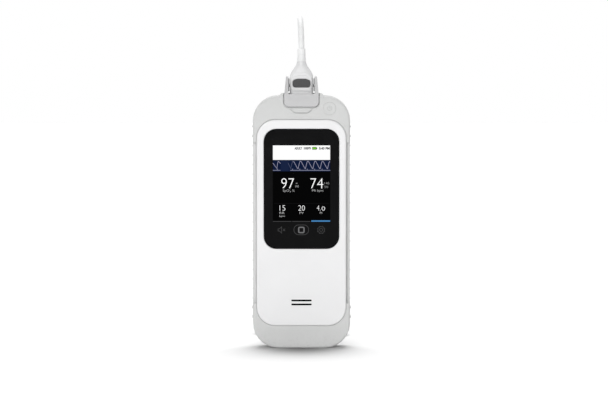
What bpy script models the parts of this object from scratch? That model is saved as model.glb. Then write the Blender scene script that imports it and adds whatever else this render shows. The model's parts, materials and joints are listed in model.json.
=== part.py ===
"""A handheld pulse oximeter with its sensor lead and finger sensor, modelled piece by piece.

The object stands upright: +X is to its right as the display is read, +Y points to its back and +Z
points up. The origin is the middle of its flat base. All lengths are in metres.
"""

import math

import bpy
import bmesh
from mathutils import Matrix, Vector

MM = 0.001
COLLECTION_NAME = "handheld_pulse_oximeter"
CUTTERS_NAME = "cutters"

# Fits: gap is what two touching pieces keep, overrun is how far a cutter passes a surface
GAP = 0.3 * MM
OVERRUN = 4.0 * MM
WELD = 0.0002 * MM
EMBED = 0.8 * MM

# Smoothness of the shapes, in counts
CORNER_STEPS = 7
SMALL_CORNER_STEPS = 4
EDGE_STEPS = 2
ROUND_SIDES = 28
SMALL_ROUND_SIDES = 14

# Protective boot, a silicone sleeve
BOOT_WIDTH = 73.0 * MM
BOOT_HEIGHT = 189.9 * MM
BOOT_CORNER = 18.8 * MM
BOOT_FRONT = 12.2 * MM
BOOT_BACK = 13.0 * MM
BOOT_EDGE = 1.8 * MM
BOOT_WALL = 2.3 * MM
BOOT_BASE_WALL = 2.7 * MM
LIP_CUT_LOW = 33.8 * MM
LIP_CUT_HIGH = 154.9 * MM
LIP_CUT_DEPTH = 4.0 * MM
RIB_COUNT = 21
BOLD_RIBS = 2
RIB_FIRST = 22.9 * MM
RIB_PITCH = 7.18 * MM
RIB_HEIGHT = 1.5 * MM
RIB_BOLD_RISE = 0.7 * MM
RIB_RISE = 0.3 * MM
RIB_LENGTH = 15.0 * MM
RIB_EDGE = 0.3 * MM
COLLAR_TOP = 191.5 * MM
COLLAR_FOOT = 180.0 * MM
COLLAR_HALF_TOP = 15.4 * MM
COLLAR_HALF_FOOT = 16.9 * MM
COLLAR_SHOULDER = 189.2 * MM
COLLAR_FRONT = 12.1 * MM
COLLAR_BACK = 8.5 * MM
COLLAR_EDGE = 0.8 * MM
COLLAR_ROUND = 1.4 * MM
BAY_FLOOR = 189.0 * MM
BAY_BACK = 6.6 * MM
FINGER_HALF_TOP = 8.3 * MM
FINGER_HALF_LOW = 5.1 * MM
FINGER_LOW = 176.5 * MM
FINGER_DEPTH = 0.35 * MM
FINGER_GROOVE = 0.65 * MM
FINGER_GROOVE_DEPTH = 1.5 * MM
FINGER_CORNER = 1.8 * MM

# Case: a front half with a raised white face, and a back half
CASE_WALL = 2.4 * MM
FACE_LOW = 16.7 * MM
FACE_HIGH = 172.1 * MM
FACE_CORNER = 14.0 * MM
FACE_FRONT = 13.0 * MM
FACE_EDGE = 1.5 * MM
FACE_WALL = 3.2 * MM
SETBACK_FRONT = 9.5 * MM
SETBACK_WALL = 2.0 * MM
FACE_INSET = 0.15 * MM
FACE_FIT = 0.12 * MM
CASE_BACK = 10.5 * MM
BOARD_FRONT = -5.3 * MM
BACK_WALL = 2.0 * MM
SEAL_WIDTH = 0.6 * MM
SEAL_DEPTH = 0.6 * MM

# Cover glass and what lies behind it
GLASS_WIDTH = 56.5 * MM
GLASS_HEIGHT = 90.0 * MM
GLASS_LOW = 74.9 * MM
GLASS_CORNER = 9.4 * MM
GLASS_THICK = 1.1 * MM
GLASS_EDGE = 0.3 * MM
GASKET_THICK = 0.4 * MM
GASKET_WIDTH = 2.0 * MM
ACTIVE_WIDTH = 43.2 * MM
ACTIVE_HEIGHT = 57.6 * MM
ACTIVE_LOW = 94.6 * MM
WINDOW_MARGIN = 0.8 * MM
MODULE_WIDTH = 50.0 * MM
MODULE_MARGIN_LOW = 3.6 * MM
MODULE_MARGIN_HIGH = 4.4 * MM
MODULE_THICK = 3.2 * MM
MODULE_CORNER = 1.2 * MM
KEY_BOARD_WIDTH = 46.0 * MM
KEY_BOARD_HEIGHT = 13.0 * MM
KEY_BOARD_THICK = 1.0 * MM
FLEX_WIDTH = 16.0 * MM
FLEX_HEIGHT = 34.0 * MM
FLEX_THICK = 0.4 * MM
FLEX_LOW = 79.0 * MM

# Main board, sensor board and their screws
BOARD_WIDTH = 47.6 * MM
BOARD_LOW = 60.0 * MM
BOARD_HIGH = 165.0 * MM
BOARD_THICK = 1.6 * MM
BOARD_CORNER = 2.0 * MM
BOARD_SCREW_SIDE = 21.0 * MM
BOARD_SCREW_LOW = 64.0 * MM
BOARD_SCREW_HIGH = 160.5 * MM
BOARD_SCREW_RADIUS = 0.8 * MM
BOARD_SCREW_HEAD = 1.8 * MM
BOARD_SCREW_HEAD_THICK = 1.2 * MM
BOARD_SCREW_LENGTH = 4.2 * MM
STANDOFF_RADIUS = 2.0 * MM
LINK_WIDTH = 20.0 * MM
LINK_HEIGHT = 4.0 * MM
LINK_THICK = 2.5 * MM
LINK_LOW = 130.0 * MM
SENSOR_BOARD_WIDTH = 40.0 * MM
SENSOR_BOARD_LOW = 120.0 * MM
SENSOR_BOARD_HIGH = 158.0 * MM
SENSOR_BOARD_THICK = 1.0 * MM
CAN_WIDTH = 32.0 * MM
CAN_LOW = 124.0 * MM
CAN_HIGH = 154.0 * MM
CAN_THICK = 2.8 * MM
CAN_EDGE = 0.5 * MM

# Battery and speaker
BATTERY_WIDTH = 46.0 * MM
BATTERY_LOW = 48.0 * MM
BATTERY_HIGH = 112.0 * MM
BATTERY_FRONT = -1.9 * MM
BATTERY_CORNER = 3.0 * MM
BATTERY_EDGE = 1.0 * MM
PAD_THICK = 0.6 * MM
PAD_MARGIN = 4.0 * MM
SLOT_WIDTH = 15.4 * MM
SLOT_HEIGHT = 1.4 * MM
SLOT_UPPER = 35.9 * MM
SLOT_LOWER = 32.9 * MM
MESH_WIDTH = 19.0 * MM
MESH_HEIGHT = 8.0 * MM
MESH_THICK = 0.4 * MM
MESH_COVER = 1.4 * MM
SPEAKER_RADIUS = 10.5 * MM
SPEAKER_THICK = 4.5 * MM
SPEAKER_RIM = 1.0 * MM
SPEAKER_GASKET_WIDTH = 2.0 * MM
SPEAKER_GASKET_THICK = 0.5 * MM

# Power key and its switch
KEY_SIDE = 21.1 * MM
KEY_LEVEL = 180.3 * MM
KEY_RADIUS = 4.8 * MM
KEY_THICK = 1.7 * MM
KEY_PROUD = 0.1 * MM
KEY_EDGE = 0.35 * MM
KEY_TRAVEL = 0.8 * MM
KEY_STEM_RADIUS = 1.2 * MM
KEY_STEM_LENGTH = 3.6 * MM
KEY_MARK_RADIUS = 1.7 * MM
KEY_MARK_WIRE = 0.28 * MM
KEY_RING_RADIUS = 3.9 * MM
SWITCH_RADIUS = 2.8 * MM
SWITCH_THICK = 2.2 * MM
SWITCH_BOARD_LEFT = 16.5 * MM
SWITCH_BOARD_RIGHT = 24.0 * MM
SWITCH_BOARD_LOW = 162.9 * MM
SWITCH_BOARD_HIGH = 182.2 * MM
SWITCH_BOARD_THICK = 1.0 * MM

# Case screws: half spacing across, and level
SCREW_SIDE_END = 27.4 * MM
SCREW_SIDE_MIDDLE = 29.2 * MM
SCREW_LEVEL_HIGH = 163.6 * MM
SCREW_LEVEL_MIDDLE = 95.0 * MM
SCREW_LEVEL_LOW = 25.2 * MM
SCREW_RADIUS = 1.0 * MM
SCREW_HEAD_RADIUS = 2.1 * MM
SCREW_HEAD_THICK = 1.3 * MM
SCREW_LENGTH = 14.5 * MM
BOSS_RADIUS = 3.0 * MM
DRIVE_RADIUS = 0.9 * MM
DRIVE_DEPTH = 0.6 * MM

# Cable socket inside the top of the case
SOCKET_WIDTH = 21.0 * MM
SOCKET_DEPTH = 12.4 * MM
SOCKET_HEIGHT = 16.0 * MM
BLADE_WIDTH = 12.0 * MM
BLADE_THICK = 1.6 * MM
BLADE_LENGTH = 15.5 * MM
BLADE_GRIP = 3.0 * MM
CONTACT_COUNT = 8
CONTACT_WIDTH = 0.8 * MM
CONTACT_THICK = 0.6 * MM
CONTACT_HEIGHT = 9.0 * MM
CONTACT_BAR = 1.4 * MM

# Lock bail: a flap and two arms in one piece
FLAP_WIDTH = 26.1 * MM
FLAP_LOW = 181.5 * MM
FLAP_HIGH = 191.0 * MM
FLAP_FRONT = 12.7 * MM
FLAP_THICK = 1.9 * MM
FLAP_CORNER = 3.8 * MM
FLAP_EDGE = 0.5 * MM
FLAP_SIDE_GAP = 0.75 * MM
FLAP_LOW_GAP = 1.2 * MM
ARM_INSIDE = 9.8 * MM
ARM_OUTSIDE_LOW = 12.9 * MM
ARM_OUTSIDE_HIGH = 11.6 * MM
ARM_TOP = 204.5 * MM
ARM_LOW = 190.2 * MM
ARM_BACK = 3.4 * MM
ARM_TIP_WIDTH = 5.6 * MM
ARM_CORNER = 2.2 * MM
ARM_EDGE = 0.4 * MM
PIVOT_LEVEL = 197.4 * MM
NUB_RADIUS = 1.1 * MM
NUB_REACH = 0.7 * MM
WEB_FRONT = 0.9 * MM
WEB_BACK = 2.2 * MM
WEB_LOW = 193.0 * MM
WEB_HIGH = 202.6 * MM
BAIL_OPEN_DEG = 85.0

# Connector plug: how far below its top, half width, half depth and squareness of its sections
PLUG_HALF = 8.8 * MM
PLUG_HALF_DEPTH = 5.5 * MM
PLUG_TOP = 215.4 * MM
PLUG_PROFILE = (
    (0.0 * MM, 3.35 * MM, 3.3 * MM, 2.0),
    (0.8 * MM, 3.5 * MM, 3.45 * MM, 2.0),
    (2.2 * MM, 3.95 * MM, 3.75 * MM, 2.05),
    (3.4 * MM, 4.55 * MM, 4.1 * MM, 2.2),
    (4.4 * MM, 5.2 * MM, 4.4 * MM, 2.4),
    (5.4 * MM, 5.95 * MM, 4.65 * MM, 2.6),
    (6.5 * MM, 6.75 * MM, 4.9 * MM, 2.9),
    (7.8 * MM, 7.55 * MM, 5.1 * MM, 3.3),
    (9.1 * MM, 8.2 * MM, 5.3 * MM, 3.8),
    (10.4 * MM, 8.6 * MM, 5.42 * MM, 4.6),
    (12.0 * MM, PLUG_HALF, PLUG_HALF_DEPTH, 6.0),
)
PLUG_SQUARENESS = 6.0
PLUG_FOOT_EDGE = 0.7 * MM
PLUG_EDGE = 1.6 * MM
PLUG_SIDES = 24
PLUG_SEAM = 0.12 * MM
PLUG_DIMPLE_LEVEL = 213.0 * MM
PLUG_DIMPLE_FLOOR = 3.0 * MM
PANEL_SHOULDER = 3.0 * MM
PANEL_HALF = 7.5 * MM
PANEL_LOW = 192.9 * MM
PANEL_SIDE_TOP = 203.2 * MM
PANEL_TOP = 207.2 * MM
PANEL_RISE = 0.3 * MM
STEP_HALF = 6.9 * MM
STEP_SIDE_TOP = 201.8 * MM
STEP_TOP = 204.9 * MM
STEP_RISE = 0.3 * MM
PANEL_EDGE = 0.2 * MM
PANEL_ROUND = 0.8 * MM
THUMB_WIDTH = 13.2 * MM
THUMB_LOW = 196.0 * MM
THUMB_SIDE_TOP = 201.1 * MM
THUMB_TOP = 202.3 * MM
THUMB_CORNER = 1.9 * MM
THUMB_THICK = 1.2 * MM
THUMB_RISE = 0.45 * MM
THUMB_EDGE = 0.25 * MM
RELIEF_LOW_RADIUS = 3.35 * MM
RELIEF_TOP_RADIUS = 2.9 * MM
RELIEF_TOP = 225.3 * MM
RELIEF_FOOT_LENGTH = 3.0 * MM
RELIEF_EDGE = 0.35 * MM
RELIEF_FOOT_RADIUS = 2.3 * MM
DIMPLE_RADIUS = 0.5 * MM
DIMPLE_FLOOR = 2.1 * MM
DIMPLE_SIDE = 1.35 * MM
DIMPLE_LEVEL = 220.8 * MM

# Sensor lead, and the route of its free stretches, chosen point by point
CORD_RADIUS = 2.1 * MM
CORD_STEP = 9.5 * MM
LEAD_ROUTE = (
    (-0.1 * MM, 0.3 * MM, 233.5 * MM),
    (-0.5 * MM, 3.8 * MM, 241.6 * MM),
    (-0.9 * MM, 11.6 * MM, 246.8 * MM),
    (-0.9 * MM, 20.6 * MM, 246.2 * MM),
    (-0.6 * MM, 27.6 * MM, 239.6 * MM),
    (-0.1 * MM, 30.6 * MM, 229.0 * MM),
    (0.2 * MM, 31.4 * MM, 214.0 * MM),
    (-1.6 * MM, 31.4 * MM, 182.0 * MM),
    (-7.0 * MM, 31.2 * MM, 134.0 * MM),
    (-13.8 * MM, 30.8 * MM, 88.0 * MM),
    (-19.0 * MM, 30.8 * MM, 50.0 * MM),
    (-20.6 * MM, 31.4 * MM, 25.0 * MM),
    (-17.4 * MM, 34.0 * MM, 9.6 * MM),
)
LEAD_END = (-4.4 * MM, 38.0 * MM, 2.3 * MM)
COIL_CENTRE_BACK = 66.0 * MM
COIL_OUTER = 27.8 * MM
COIL_TURNS = 4.25
COIL_START_DEG = -90.0
COIL_POINTS = 24
COIL_PITCH = 4.75 * MM
COIL_LAYER = 4.75 * MM
COIL_LEVEL = 2.3 * MM
TAIL_ROUTE = (
    (29.2 * MM, 78.0 * MM, 6.4 * MM),
    (32.6 * MM, 88.0 * MM, 5.2 * MM),
    (35.4 * MM, 97.0 * MM, 4.6 * MM),
    (33.6 * MM, 106.6 * MM, 4.4 * MM),
)

# Finger sensor: it lies on its lower shell behind the coil, its mouth to the left
SENSOR_LEFT = -37.0 * MM
SENSOR_RIGHT = 11.0 * MM
SENSOR_BACK = 111.0 * MM
SENSOR_WIDTH = 21.0 * MM
SENSOR_SPLIT = 10.0 * MM
SENSOR_HEIGHT = 20.6 * MM
SENSOR_NOSE = 4.0 * MM
SENSOR_EDGE = 1.4 * MM
SENSOR_HEEL = 15.4 * MM
LOWER_TOP = 9.4 * MM
UPPER_LOW = 10.6 * MM
HINGE_SIDE = 0.0 * MM
CHANNEL_RADIUS = 8.0 * MM
CHANNEL_LENGTH = 29.0 * MM
FINGER_PAD_THICK = 1.4 * MM
EYE_RADIUS = 2.0 * MM
EYE_SIDE = -20.0 * MM
PIN_RADIUS = 1.1 * MM
EAR_RADIUS = 3.0 * MM
EAR_WIDTH = 2.4 * MM
KNUCKLE_RADIUS = 2.8 * MM
KNUCKLE_WIDTH = 3.6 * MM
SPRING_RADIUS = 1.9 * MM
SPRING_WIRE = 0.25 * MM
SPRING_TURNS = 5
SPRING_POINTS = 9
SPRING_PITCH = 1.0 * MM
SENSOR_RELIEF_LENGTH = 9.2 * MM
SENSOR_RELIEF_LEVEL = 4.4 * MM
SENSOR_RELIEF_FOOT = 3.3 * MM
SENSOR_RELIEF_TIP = 2.6 * MM
SENSOR_OPEN_DEG = 20.0

# Colour, roughness and metallic value of each kind of material
LOOKS = {
    "silicone_grey": ((0.61, 0.61, 0.61), 0.62, 0.0),
    "white_plastic": ((0.86, 0.86, 0.87), 0.38, 0.0),
    "bail_grey": ((0.60, 0.60, 0.61), 0.45, 0.0),
    "cord_white": ((0.80, 0.80, 0.80), 0.50, 0.0),
    "cover_black": ((0.008, 0.008, 0.009), 0.08, 0.0),
    "display_dark": ((0.01, 0.01, 0.012), 0.30, 0.0),
    "board_green": ((0.03, 0.16, 0.07), 0.50, 0.0),
    "steel": ((0.62, 0.62, 0.62), 0.30, 1.0),
    "gold": ((0.85, 0.62, 0.25), 0.30, 1.0),
    "black_plastic": ((0.02, 0.02, 0.02), 0.50, 0.0),
    "foam_grey": ((0.12, 0.12, 0.12), 0.90, 0.0),
    "battery_wrap": ((0.06, 0.10, 0.22), 0.45, 0.0),
    "thumb_grey": ((0.095, 0.095, 0.10), 0.60, 0.0),
    "flex_amber": ((0.55, 0.27, 0.06), 0.40, 0.0),
    "lens_clear": ((0.35, 0.30, 0.28), 0.12, 0.0),
}


def start_scene():
    for old in list(bpy.data.objects):
        bpy.data.objects.remove(old, do_unlink=True)
    made = []
    for name in (COLLECTION_NAME, CUTTERS_NAME):
        collection = bpy.data.collections.new(name)
        bpy.context.scene.collection.children.link(collection)
        made.append(collection)
    return made


PARTS, CUTTERS = start_scene()


def material(kind, name):
    colour, roughness, metallic = LOOKS[kind]
    made = bpy.data.materials.new(name)
    made.use_nodes = True
    shader = made.node_tree.nodes["Principled BSDF"]
    shader.inputs["Base Color"].default_value = (*colour, 1.0)
    shader.inputs["Roughness"].default_value = roughness
    shader.inputs["Metallic"].default_value = metallic
    return made


def mesh_from(name, data):
    """Turns curve data into a welded mesh object in the cutters' collection."""
    source = bpy.data.objects.new(name, data)
    CUTTERS.objects.link(source)
    bpy.context.view_layer.update()
    graph = bpy.context.evaluated_depsgraph_get()
    mesh = bpy.data.meshes.new_from_object(source.evaluated_get(graph))
    bpy.data.objects.remove(source, do_unlink=True)
    bm = bmesh.new()
    bm.from_mesh(mesh)
    bmesh.ops.remove_doubles(bm, verts=bm.verts, dist=WELD)
    bmesh.ops.recalc_face_normals(bm, faces=bm.faces)
    bm.to_mesh(mesh)
    bm.free()
    return cutter(name, mesh)


def cutter(name, mesh):
    """Every solid starts as a guide: wire on screen, left out of renders."""
    mesh.name = name
    made = bpy.data.objects.new(name, mesh)
    made.hide_render = True
    made.display_type = "WIRE"
    CUTTERS.objects.link(made)
    return made


def piece(solid, name, look, pivot=None):
    """Makes a solid one of the object's pieces, with its origin on its joint if it has one."""
    solid.name = name
    solid.data.name = name
    solid.hide_render = False
    solid.display_type = "TEXTURED"
    CUTTERS.objects.unlink(solid)
    PARTS.objects.link(solid)
    solid.data.materials.clear()
    solid.data.materials.append(material(look, name))
    solid.data.shade_smooth()
    solid.data.set_sharp_from_angle(angle=math.radians(40))
    if pivot is not None:
        solid.data.transform(Matrix.Translation(-Vector(pivot)))
        solid.location = pivot
    return solid


def boolean(target, tool, operation, name, solver="EXACT"):
    change = target.modifiers.new(name, "BOOLEAN")
    change.operation = operation
    change.object = tool
    change.solver = solver


def settle(target):
    """Applies the solid's modifiers, so that it can be cut, joined or moved again."""
    bpy.context.view_layer.update()
    graph = bpy.context.evaluated_depsgraph_get()
    mesh = bpy.data.meshes.new_from_object(target.evaluated_get(graph))
    target.modifiers.clear()
    bm = bmesh.new()
    bm.from_mesh(mesh)
    bmesh.ops.remove_doubles(bm, verts=bm.verts, dist=WELD)
    bmesh.ops.dissolve_degenerate(bm, edges=bm.edges, dist=WELD)
    bm.to_mesh(mesh)
    bm.free()
    target.data = mesh
    return target


def cut(target, *tools, solver="EXACT"):
    for tool in tools:
        boolean(target, tool, "DIFFERENCE", "cut " + tool.name, solver)
    return settle(target)


def join(target, *tools, solver="EXACT"):
    for tool in tools:
        boolean(target, tool, "UNION", "join " + tool.name, solver)
    return settle(target)


def keep(target, tool):
    boolean(target, tool, "INTERSECT", "keep " + tool.name)
    return settle(target)


PLANES = {
    "XZ": Matrix(((1, 0, 0, 0), (0, 0, -1, 0), (0, 1, 0, 0), (0, 0, 0, 1))),
    "YZ": Matrix(((0, 0, 1, 0), (1, 0, 0, 0), (0, 1, 0, 0), (0, 0, 0, 1))),
    "XY": Matrix.Identity(4),
}
PLANE_NORMALS = {"XZ": Vector((0, 1, 0)), "YZ": Vector((1, 0, 0)), "XY": Vector((0, 0, 1))}


def slab(name, outline, low, high, plane="XZ", edge=0.0):
    """A flat outline made a solid from low to high across its plane, its rims rounded by edge."""
    data = bpy.data.curves.new(name, "CURVE")
    data.dimensions = "2D"
    data.fill_mode = "BOTH"
    data.extrude = (high - low) / 2 - edge
    data.bevel_depth = edge
    data.bevel_resolution = EDGE_STEPS
    data.offset = -edge
    spline = data.splines.new("POLY")
    spline.points.add(len(outline) - 1)
    for point, (across, along) in zip(spline.points, outline):
        point.co = (across, along, 0, 1)
    spline.use_cyclic_u = True
    made = mesh_from(name, data)
    middle = Matrix.Translation(PLANE_NORMALS[plane] * ((low + high) / 2))
    made.data.transform(middle @ PLANES[plane])
    return made


def fillet(before, corner, after, radius, steps):
    """The points of an arc that rounds one corner of an outline."""
    start, middle, end = Vector(before), Vector(corner), Vector(after)
    into = (start - middle).normalized()
    out = (end - middle).normalized()
    half = into.angle(out) / 2
    reach = min(radius / math.tan(half), (start - middle).length, (end - middle).length)
    radius = reach * math.tan(half)
    centre = middle + (into + out).normalized() * (radius / math.sin(half))
    first = middle + into * reach - centre
    last = middle + out * reach - centre
    turn = first.angle_signed(last)
    angles = [turn * step / steps for step in range(steps + 1)]
    return [tuple(centre + Matrix.Rotation(-angle, 2) @ first) for angle in angles]


def rounded(corners, steps=CORNER_STEPS):
    """Rounds each corner, given as across, along and radius."""
    places = [(across, along) for across, along, radius in corners]
    outline = []
    for index, (across, along, radius) in enumerate(corners):
        if radius <= 0:
            outline.append((across, along))
            continue
        after = places[(index + 1) % len(places)]
        outline += fillet(places[index - 1], (across, along), after, radius, steps)
    return outline


def box_outline(left, right, low, high, radius=0.0, steps=CORNER_STEPS):
    corners = ((left, low), (right, low), (right, high), (left, high))
    return rounded([(across, along, radius) for across, along in corners], steps)


def round_outline(across, along, radius, sides=SMALL_ROUND_SIDES):
    turns = [math.tau * step / sides for step in range(sides)]
    return [(across + radius * math.cos(a), along + radius * math.sin(a)) for a in turns]


def disc(name, across, along, radius, low, high, plane="XZ", edge=0.0, sides=SMALL_ROUND_SIDES):
    return slab(name, round_outline(across, along, radius, sides), low, high, plane, edge)


def block(name, left, right, front, back, low, high, edge=0.0, corner=0.0):
    outline = box_outline(left, right, low, high, corner, SMALL_CORNER_STEPS)
    return slab(name, outline, front, back, "XZ", edge)


def ring(name, outline, inner, low, high, plane="XZ"):
    """A flat frame: one outline with a smaller one cut out of it."""
    made = slab(name, outline, low, high, plane)
    hole = slab(name + " bore", inner, low - OVERRUN, high + OVERRUN, plane)
    return cut(made, hole)


def turned(name, profile, place, turn=None):
    """A profile of radius and height, top to bottom, turned about +Z and then placed."""
    mesh = bpy.data.meshes.new(name)
    bm = bmesh.new()
    verts = [bm.verts.new((radius, 0, height)) for radius, height in profile]
    for first, second in zip(verts, verts[1:]):
        bm.edges.new((first, second))
    bm.to_mesh(mesh)
    bm.free()
    made = cutter(name, mesh)
    screw = made.modifiers.new("turn", "SCREW")
    screw.steps = ROUND_SIDES
    screw.render_steps = ROUND_SIDES
    screw.use_merge_vertices = True
    screw.merge_threshold = WELD
    settle(made)
    made.data.transform(Matrix.Translation(place) @ (turn or Matrix.Identity(4)))
    return made


def lofted(name, sections, sides):
    """A closed body through level rings, each given by its height, half width, half depth and
    squareness, where 2 is an ellipse and more is squarer."""
    mesh = bpy.data.meshes.new(name)
    bm = bmesh.new()
    rings = []
    for height, wide, deep, square in sections:
        row = []
        for step in range(sides):
            turn = math.tau * (step + 0.5) / sides
            across, along = math.cos(turn), math.sin(turn)
            row.append(bm.verts.new((
                wide * math.copysign(abs(across) ** (2 / square), across),
                deep * math.copysign(abs(along) ** (2 / square), along),
                height,
            )))
        rings.append(row)
    for low, high in zip(rings, rings[1:]):
        for step in range(sides):
            after = (step + 1) % sides
            bm.faces.new((low[step], low[after], high[after], high[step]))
    bm.faces.new(rings[0][::-1])
    bm.faces.new(rings[-1])
    bm.normal_update()
    if bm.calc_volume(signed=True) < 0:
        bmesh.ops.reverse_faces(bm, faces=bm.faces)
    bm.to_mesh(mesh)
    bm.free()
    return cutter(name, mesh)


def tube(name, points, radius, resolution):
    data = bpy.data.curves.new(name, "CURVE")
    data.dimensions = "3D"
    data.bevel_depth = radius
    data.bevel_resolution = resolution
    data.use_fill_caps = True
    data.twist_mode = "MINIMUM"
    spline = data.splines.new("POLY")
    spline.points.add(len(points) - 1)
    for point, place in zip(spline.points, points):
        point.co = (*place, 1)
    return mesh_from(name, data)


# Places that several pieces share, worked out from the sizes above
BOOT_HALF = BOOT_WIDTH / 2
CASE_HALF = BOOT_HALF - BOOT_WALL - GAP
CASE_LOW = BOOT_BASE_WALL + GAP
CASE_HIGH = BOOT_HEIGHT - BOOT_BASE_WALL - GAP
CASE_CORNER = BOOT_CORNER - BOOT_WALL - GAP
FACE_BACK = -(FACE_FRONT - FACE_WALL)
CEILING = CASE_HIGH - CASE_WALL
BAY_HALF = FLAP_WIDTH / 2 + FLAP_SIDE_GAP
POCKET_FLOOR = -(FACE_FRONT - GLASS_THICK - GASKET_THICK - 2 * GAP)
MODULE_FRONT = FACE_BACK + GAP
MODULE_LOW = ACTIVE_LOW - MODULE_MARGIN_LOW
MODULE_HIGH = ACTIVE_LOW + ACTIVE_HEIGHT + MODULE_MARGIN_HIGH
KEY_BOARD_HIGH = MODULE_LOW - 2 * GAP
BOARD_BACK = BOARD_FRONT + BOARD_THICK
BATTERY_BACK = CASE_BACK - BACK_WALL - PAD_THICK - 2 * GAP
LINK_FRONT = BOARD_BACK + GAP
SENSOR_BOARD_FRONT = LINK_FRONT + LINK_THICK + GAP
CAN_FRONT = SENSOR_BOARD_FRONT + SENSOR_BOARD_THICK + GAP
SPEAKER_LEVEL = (SLOT_UPPER + SLOT_LOWER) / 2
SWITCH_BOARD_FRONT = BOARD_BACK + GAP
SOCKET_TOP = CEILING - GAP
PLUG_LOW = SOCKET_TOP + GAP
BLADE_TOP = PLUG_LOW + BLADE_GRIP
BLADE_LOW = BLADE_TOP - BLADE_LENGTH
KEY_FRONT = -(BOOT_FRONT + KEY_PROUD)
SCREW_SEAT = CASE_BACK - SCREW_HEAD_THICK - GAP
SCREW_PLACES = [
    (side * across, level)
    for across, level in (
        (SCREW_SIDE_END, SCREW_LEVEL_HIGH),
        (SCREW_SIDE_MIDDLE, SCREW_LEVEL_MIDDLE),
        (SCREW_SIDE_END, SCREW_LEVEL_LOW),
    )
    for side in (-1, 1)
]
BOARD_SCREW_PLACES = [
    (side * BOARD_SCREW_SIDE, level)
    for level in (BOARD_SCREW_HIGH, BOARD_SCREW_LOW)
    for side in (-1, 1)
]


def case_outline(inset=0.0):
    half = CASE_HALF - inset
    return box_outline(-half, half, CASE_LOW + inset, CASE_HIGH - inset, CASE_CORNER - inset)


def face_outline(inset=0.0):
    half = CASE_HALF - FACE_INSET - inset
    return box_outline(-half, half, FACE_LOW + inset, FACE_HIGH - inset, FACE_CORNER - inset)


def glass_outline(inset=0.0):
    half = GLASS_WIDTH / 2 - inset
    low = GLASS_LOW + inset
    high = GLASS_LOW + GLASS_HEIGHT - inset
    return box_outline(-half, half, low, high, GLASS_CORNER - inset)


def plug_well(name):
    """The way through the tops of the boot and the case for the plug."""
    half = PLUG_HALF + GAP
    depth = PLUG_HALF_DEPTH + GAP
    outline = box_outline(-half, half, -depth, depth, PLUG_EDGE, SMALL_CORNER_STEPS)
    return slab(name, outline, CEILING - OVERRUN, COLLAR_TOP + OVERRUN, "XY")


def side_ribs():
    """Grip ribs down both sides, the outermost ones bolder, as one cutter-like solid."""
    profile_shares = ((-0.5, 0.0), (-0.3, 0.75), (0.0, 1.0), (0.3, 0.75), (0.5, 0.0))
    middle = (BOOT_BACK - BOOT_FRONT) / 2
    front = middle - RIB_LENGTH / 2
    back = middle + RIB_LENGTH / 2
    ribs = []
    for index in range(RIB_COUNT):
        bold = index < BOLD_RIBS or index >= RIB_COUNT - BOLD_RIBS
        rise = RIB_BOLD_RISE if bold else RIB_RISE
        level = RIB_FIRST + index * RIB_PITCH
        for side in (-1, 1):
            root = BOOT_HALF - EMBED
            outline = [(side * root, level - RIB_HEIGHT / 2)]
            for up_share, out_share in profile_shares:
                across = side * (BOOT_HALF + rise * out_share)
                outline.append((across, level + RIB_HEIGHT * up_share))
            outline.append((side * root, level + RIB_HEIGHT / 2))
            ribs.append(slab("rib", outline, front, back))
    return merge("side ribs", ribs)


def merge(name, solids):
    """Several solids that don't meet, as one object to cut or join with."""
    bm = bmesh.new()
    for solid in solids:
        bm.from_mesh(solid.data)
        bpy.data.objects.remove(solid, do_unlink=True)
    mesh = bpy.data.meshes.new(name)
    bm.to_mesh(mesh)
    bm.free()
    return cutter(name, mesh)


def recess_outline(top, inset=0.0):
    """The finger recess below the flap, open upward where it runs into the flap's bay."""
    shoulder = FLAP_LOW - FLAP_LOW_GAP - EMBED
    corner = FINGER_CORNER - inset
    upper, lower = FINGER_HALF_TOP - inset, FINGER_HALF_LOW - inset / 2
    return rounded([
        (-upper, top + EMBED, 0), (-upper, shoulder, corner),
        (-lower, FINGER_LOW + inset, corner), (lower, FINGER_LOW + inset, corner),
        (upper, shoulder, corner), (upper, top + EMBED, 0),
    ], SMALL_CORNER_STEPS)


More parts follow.
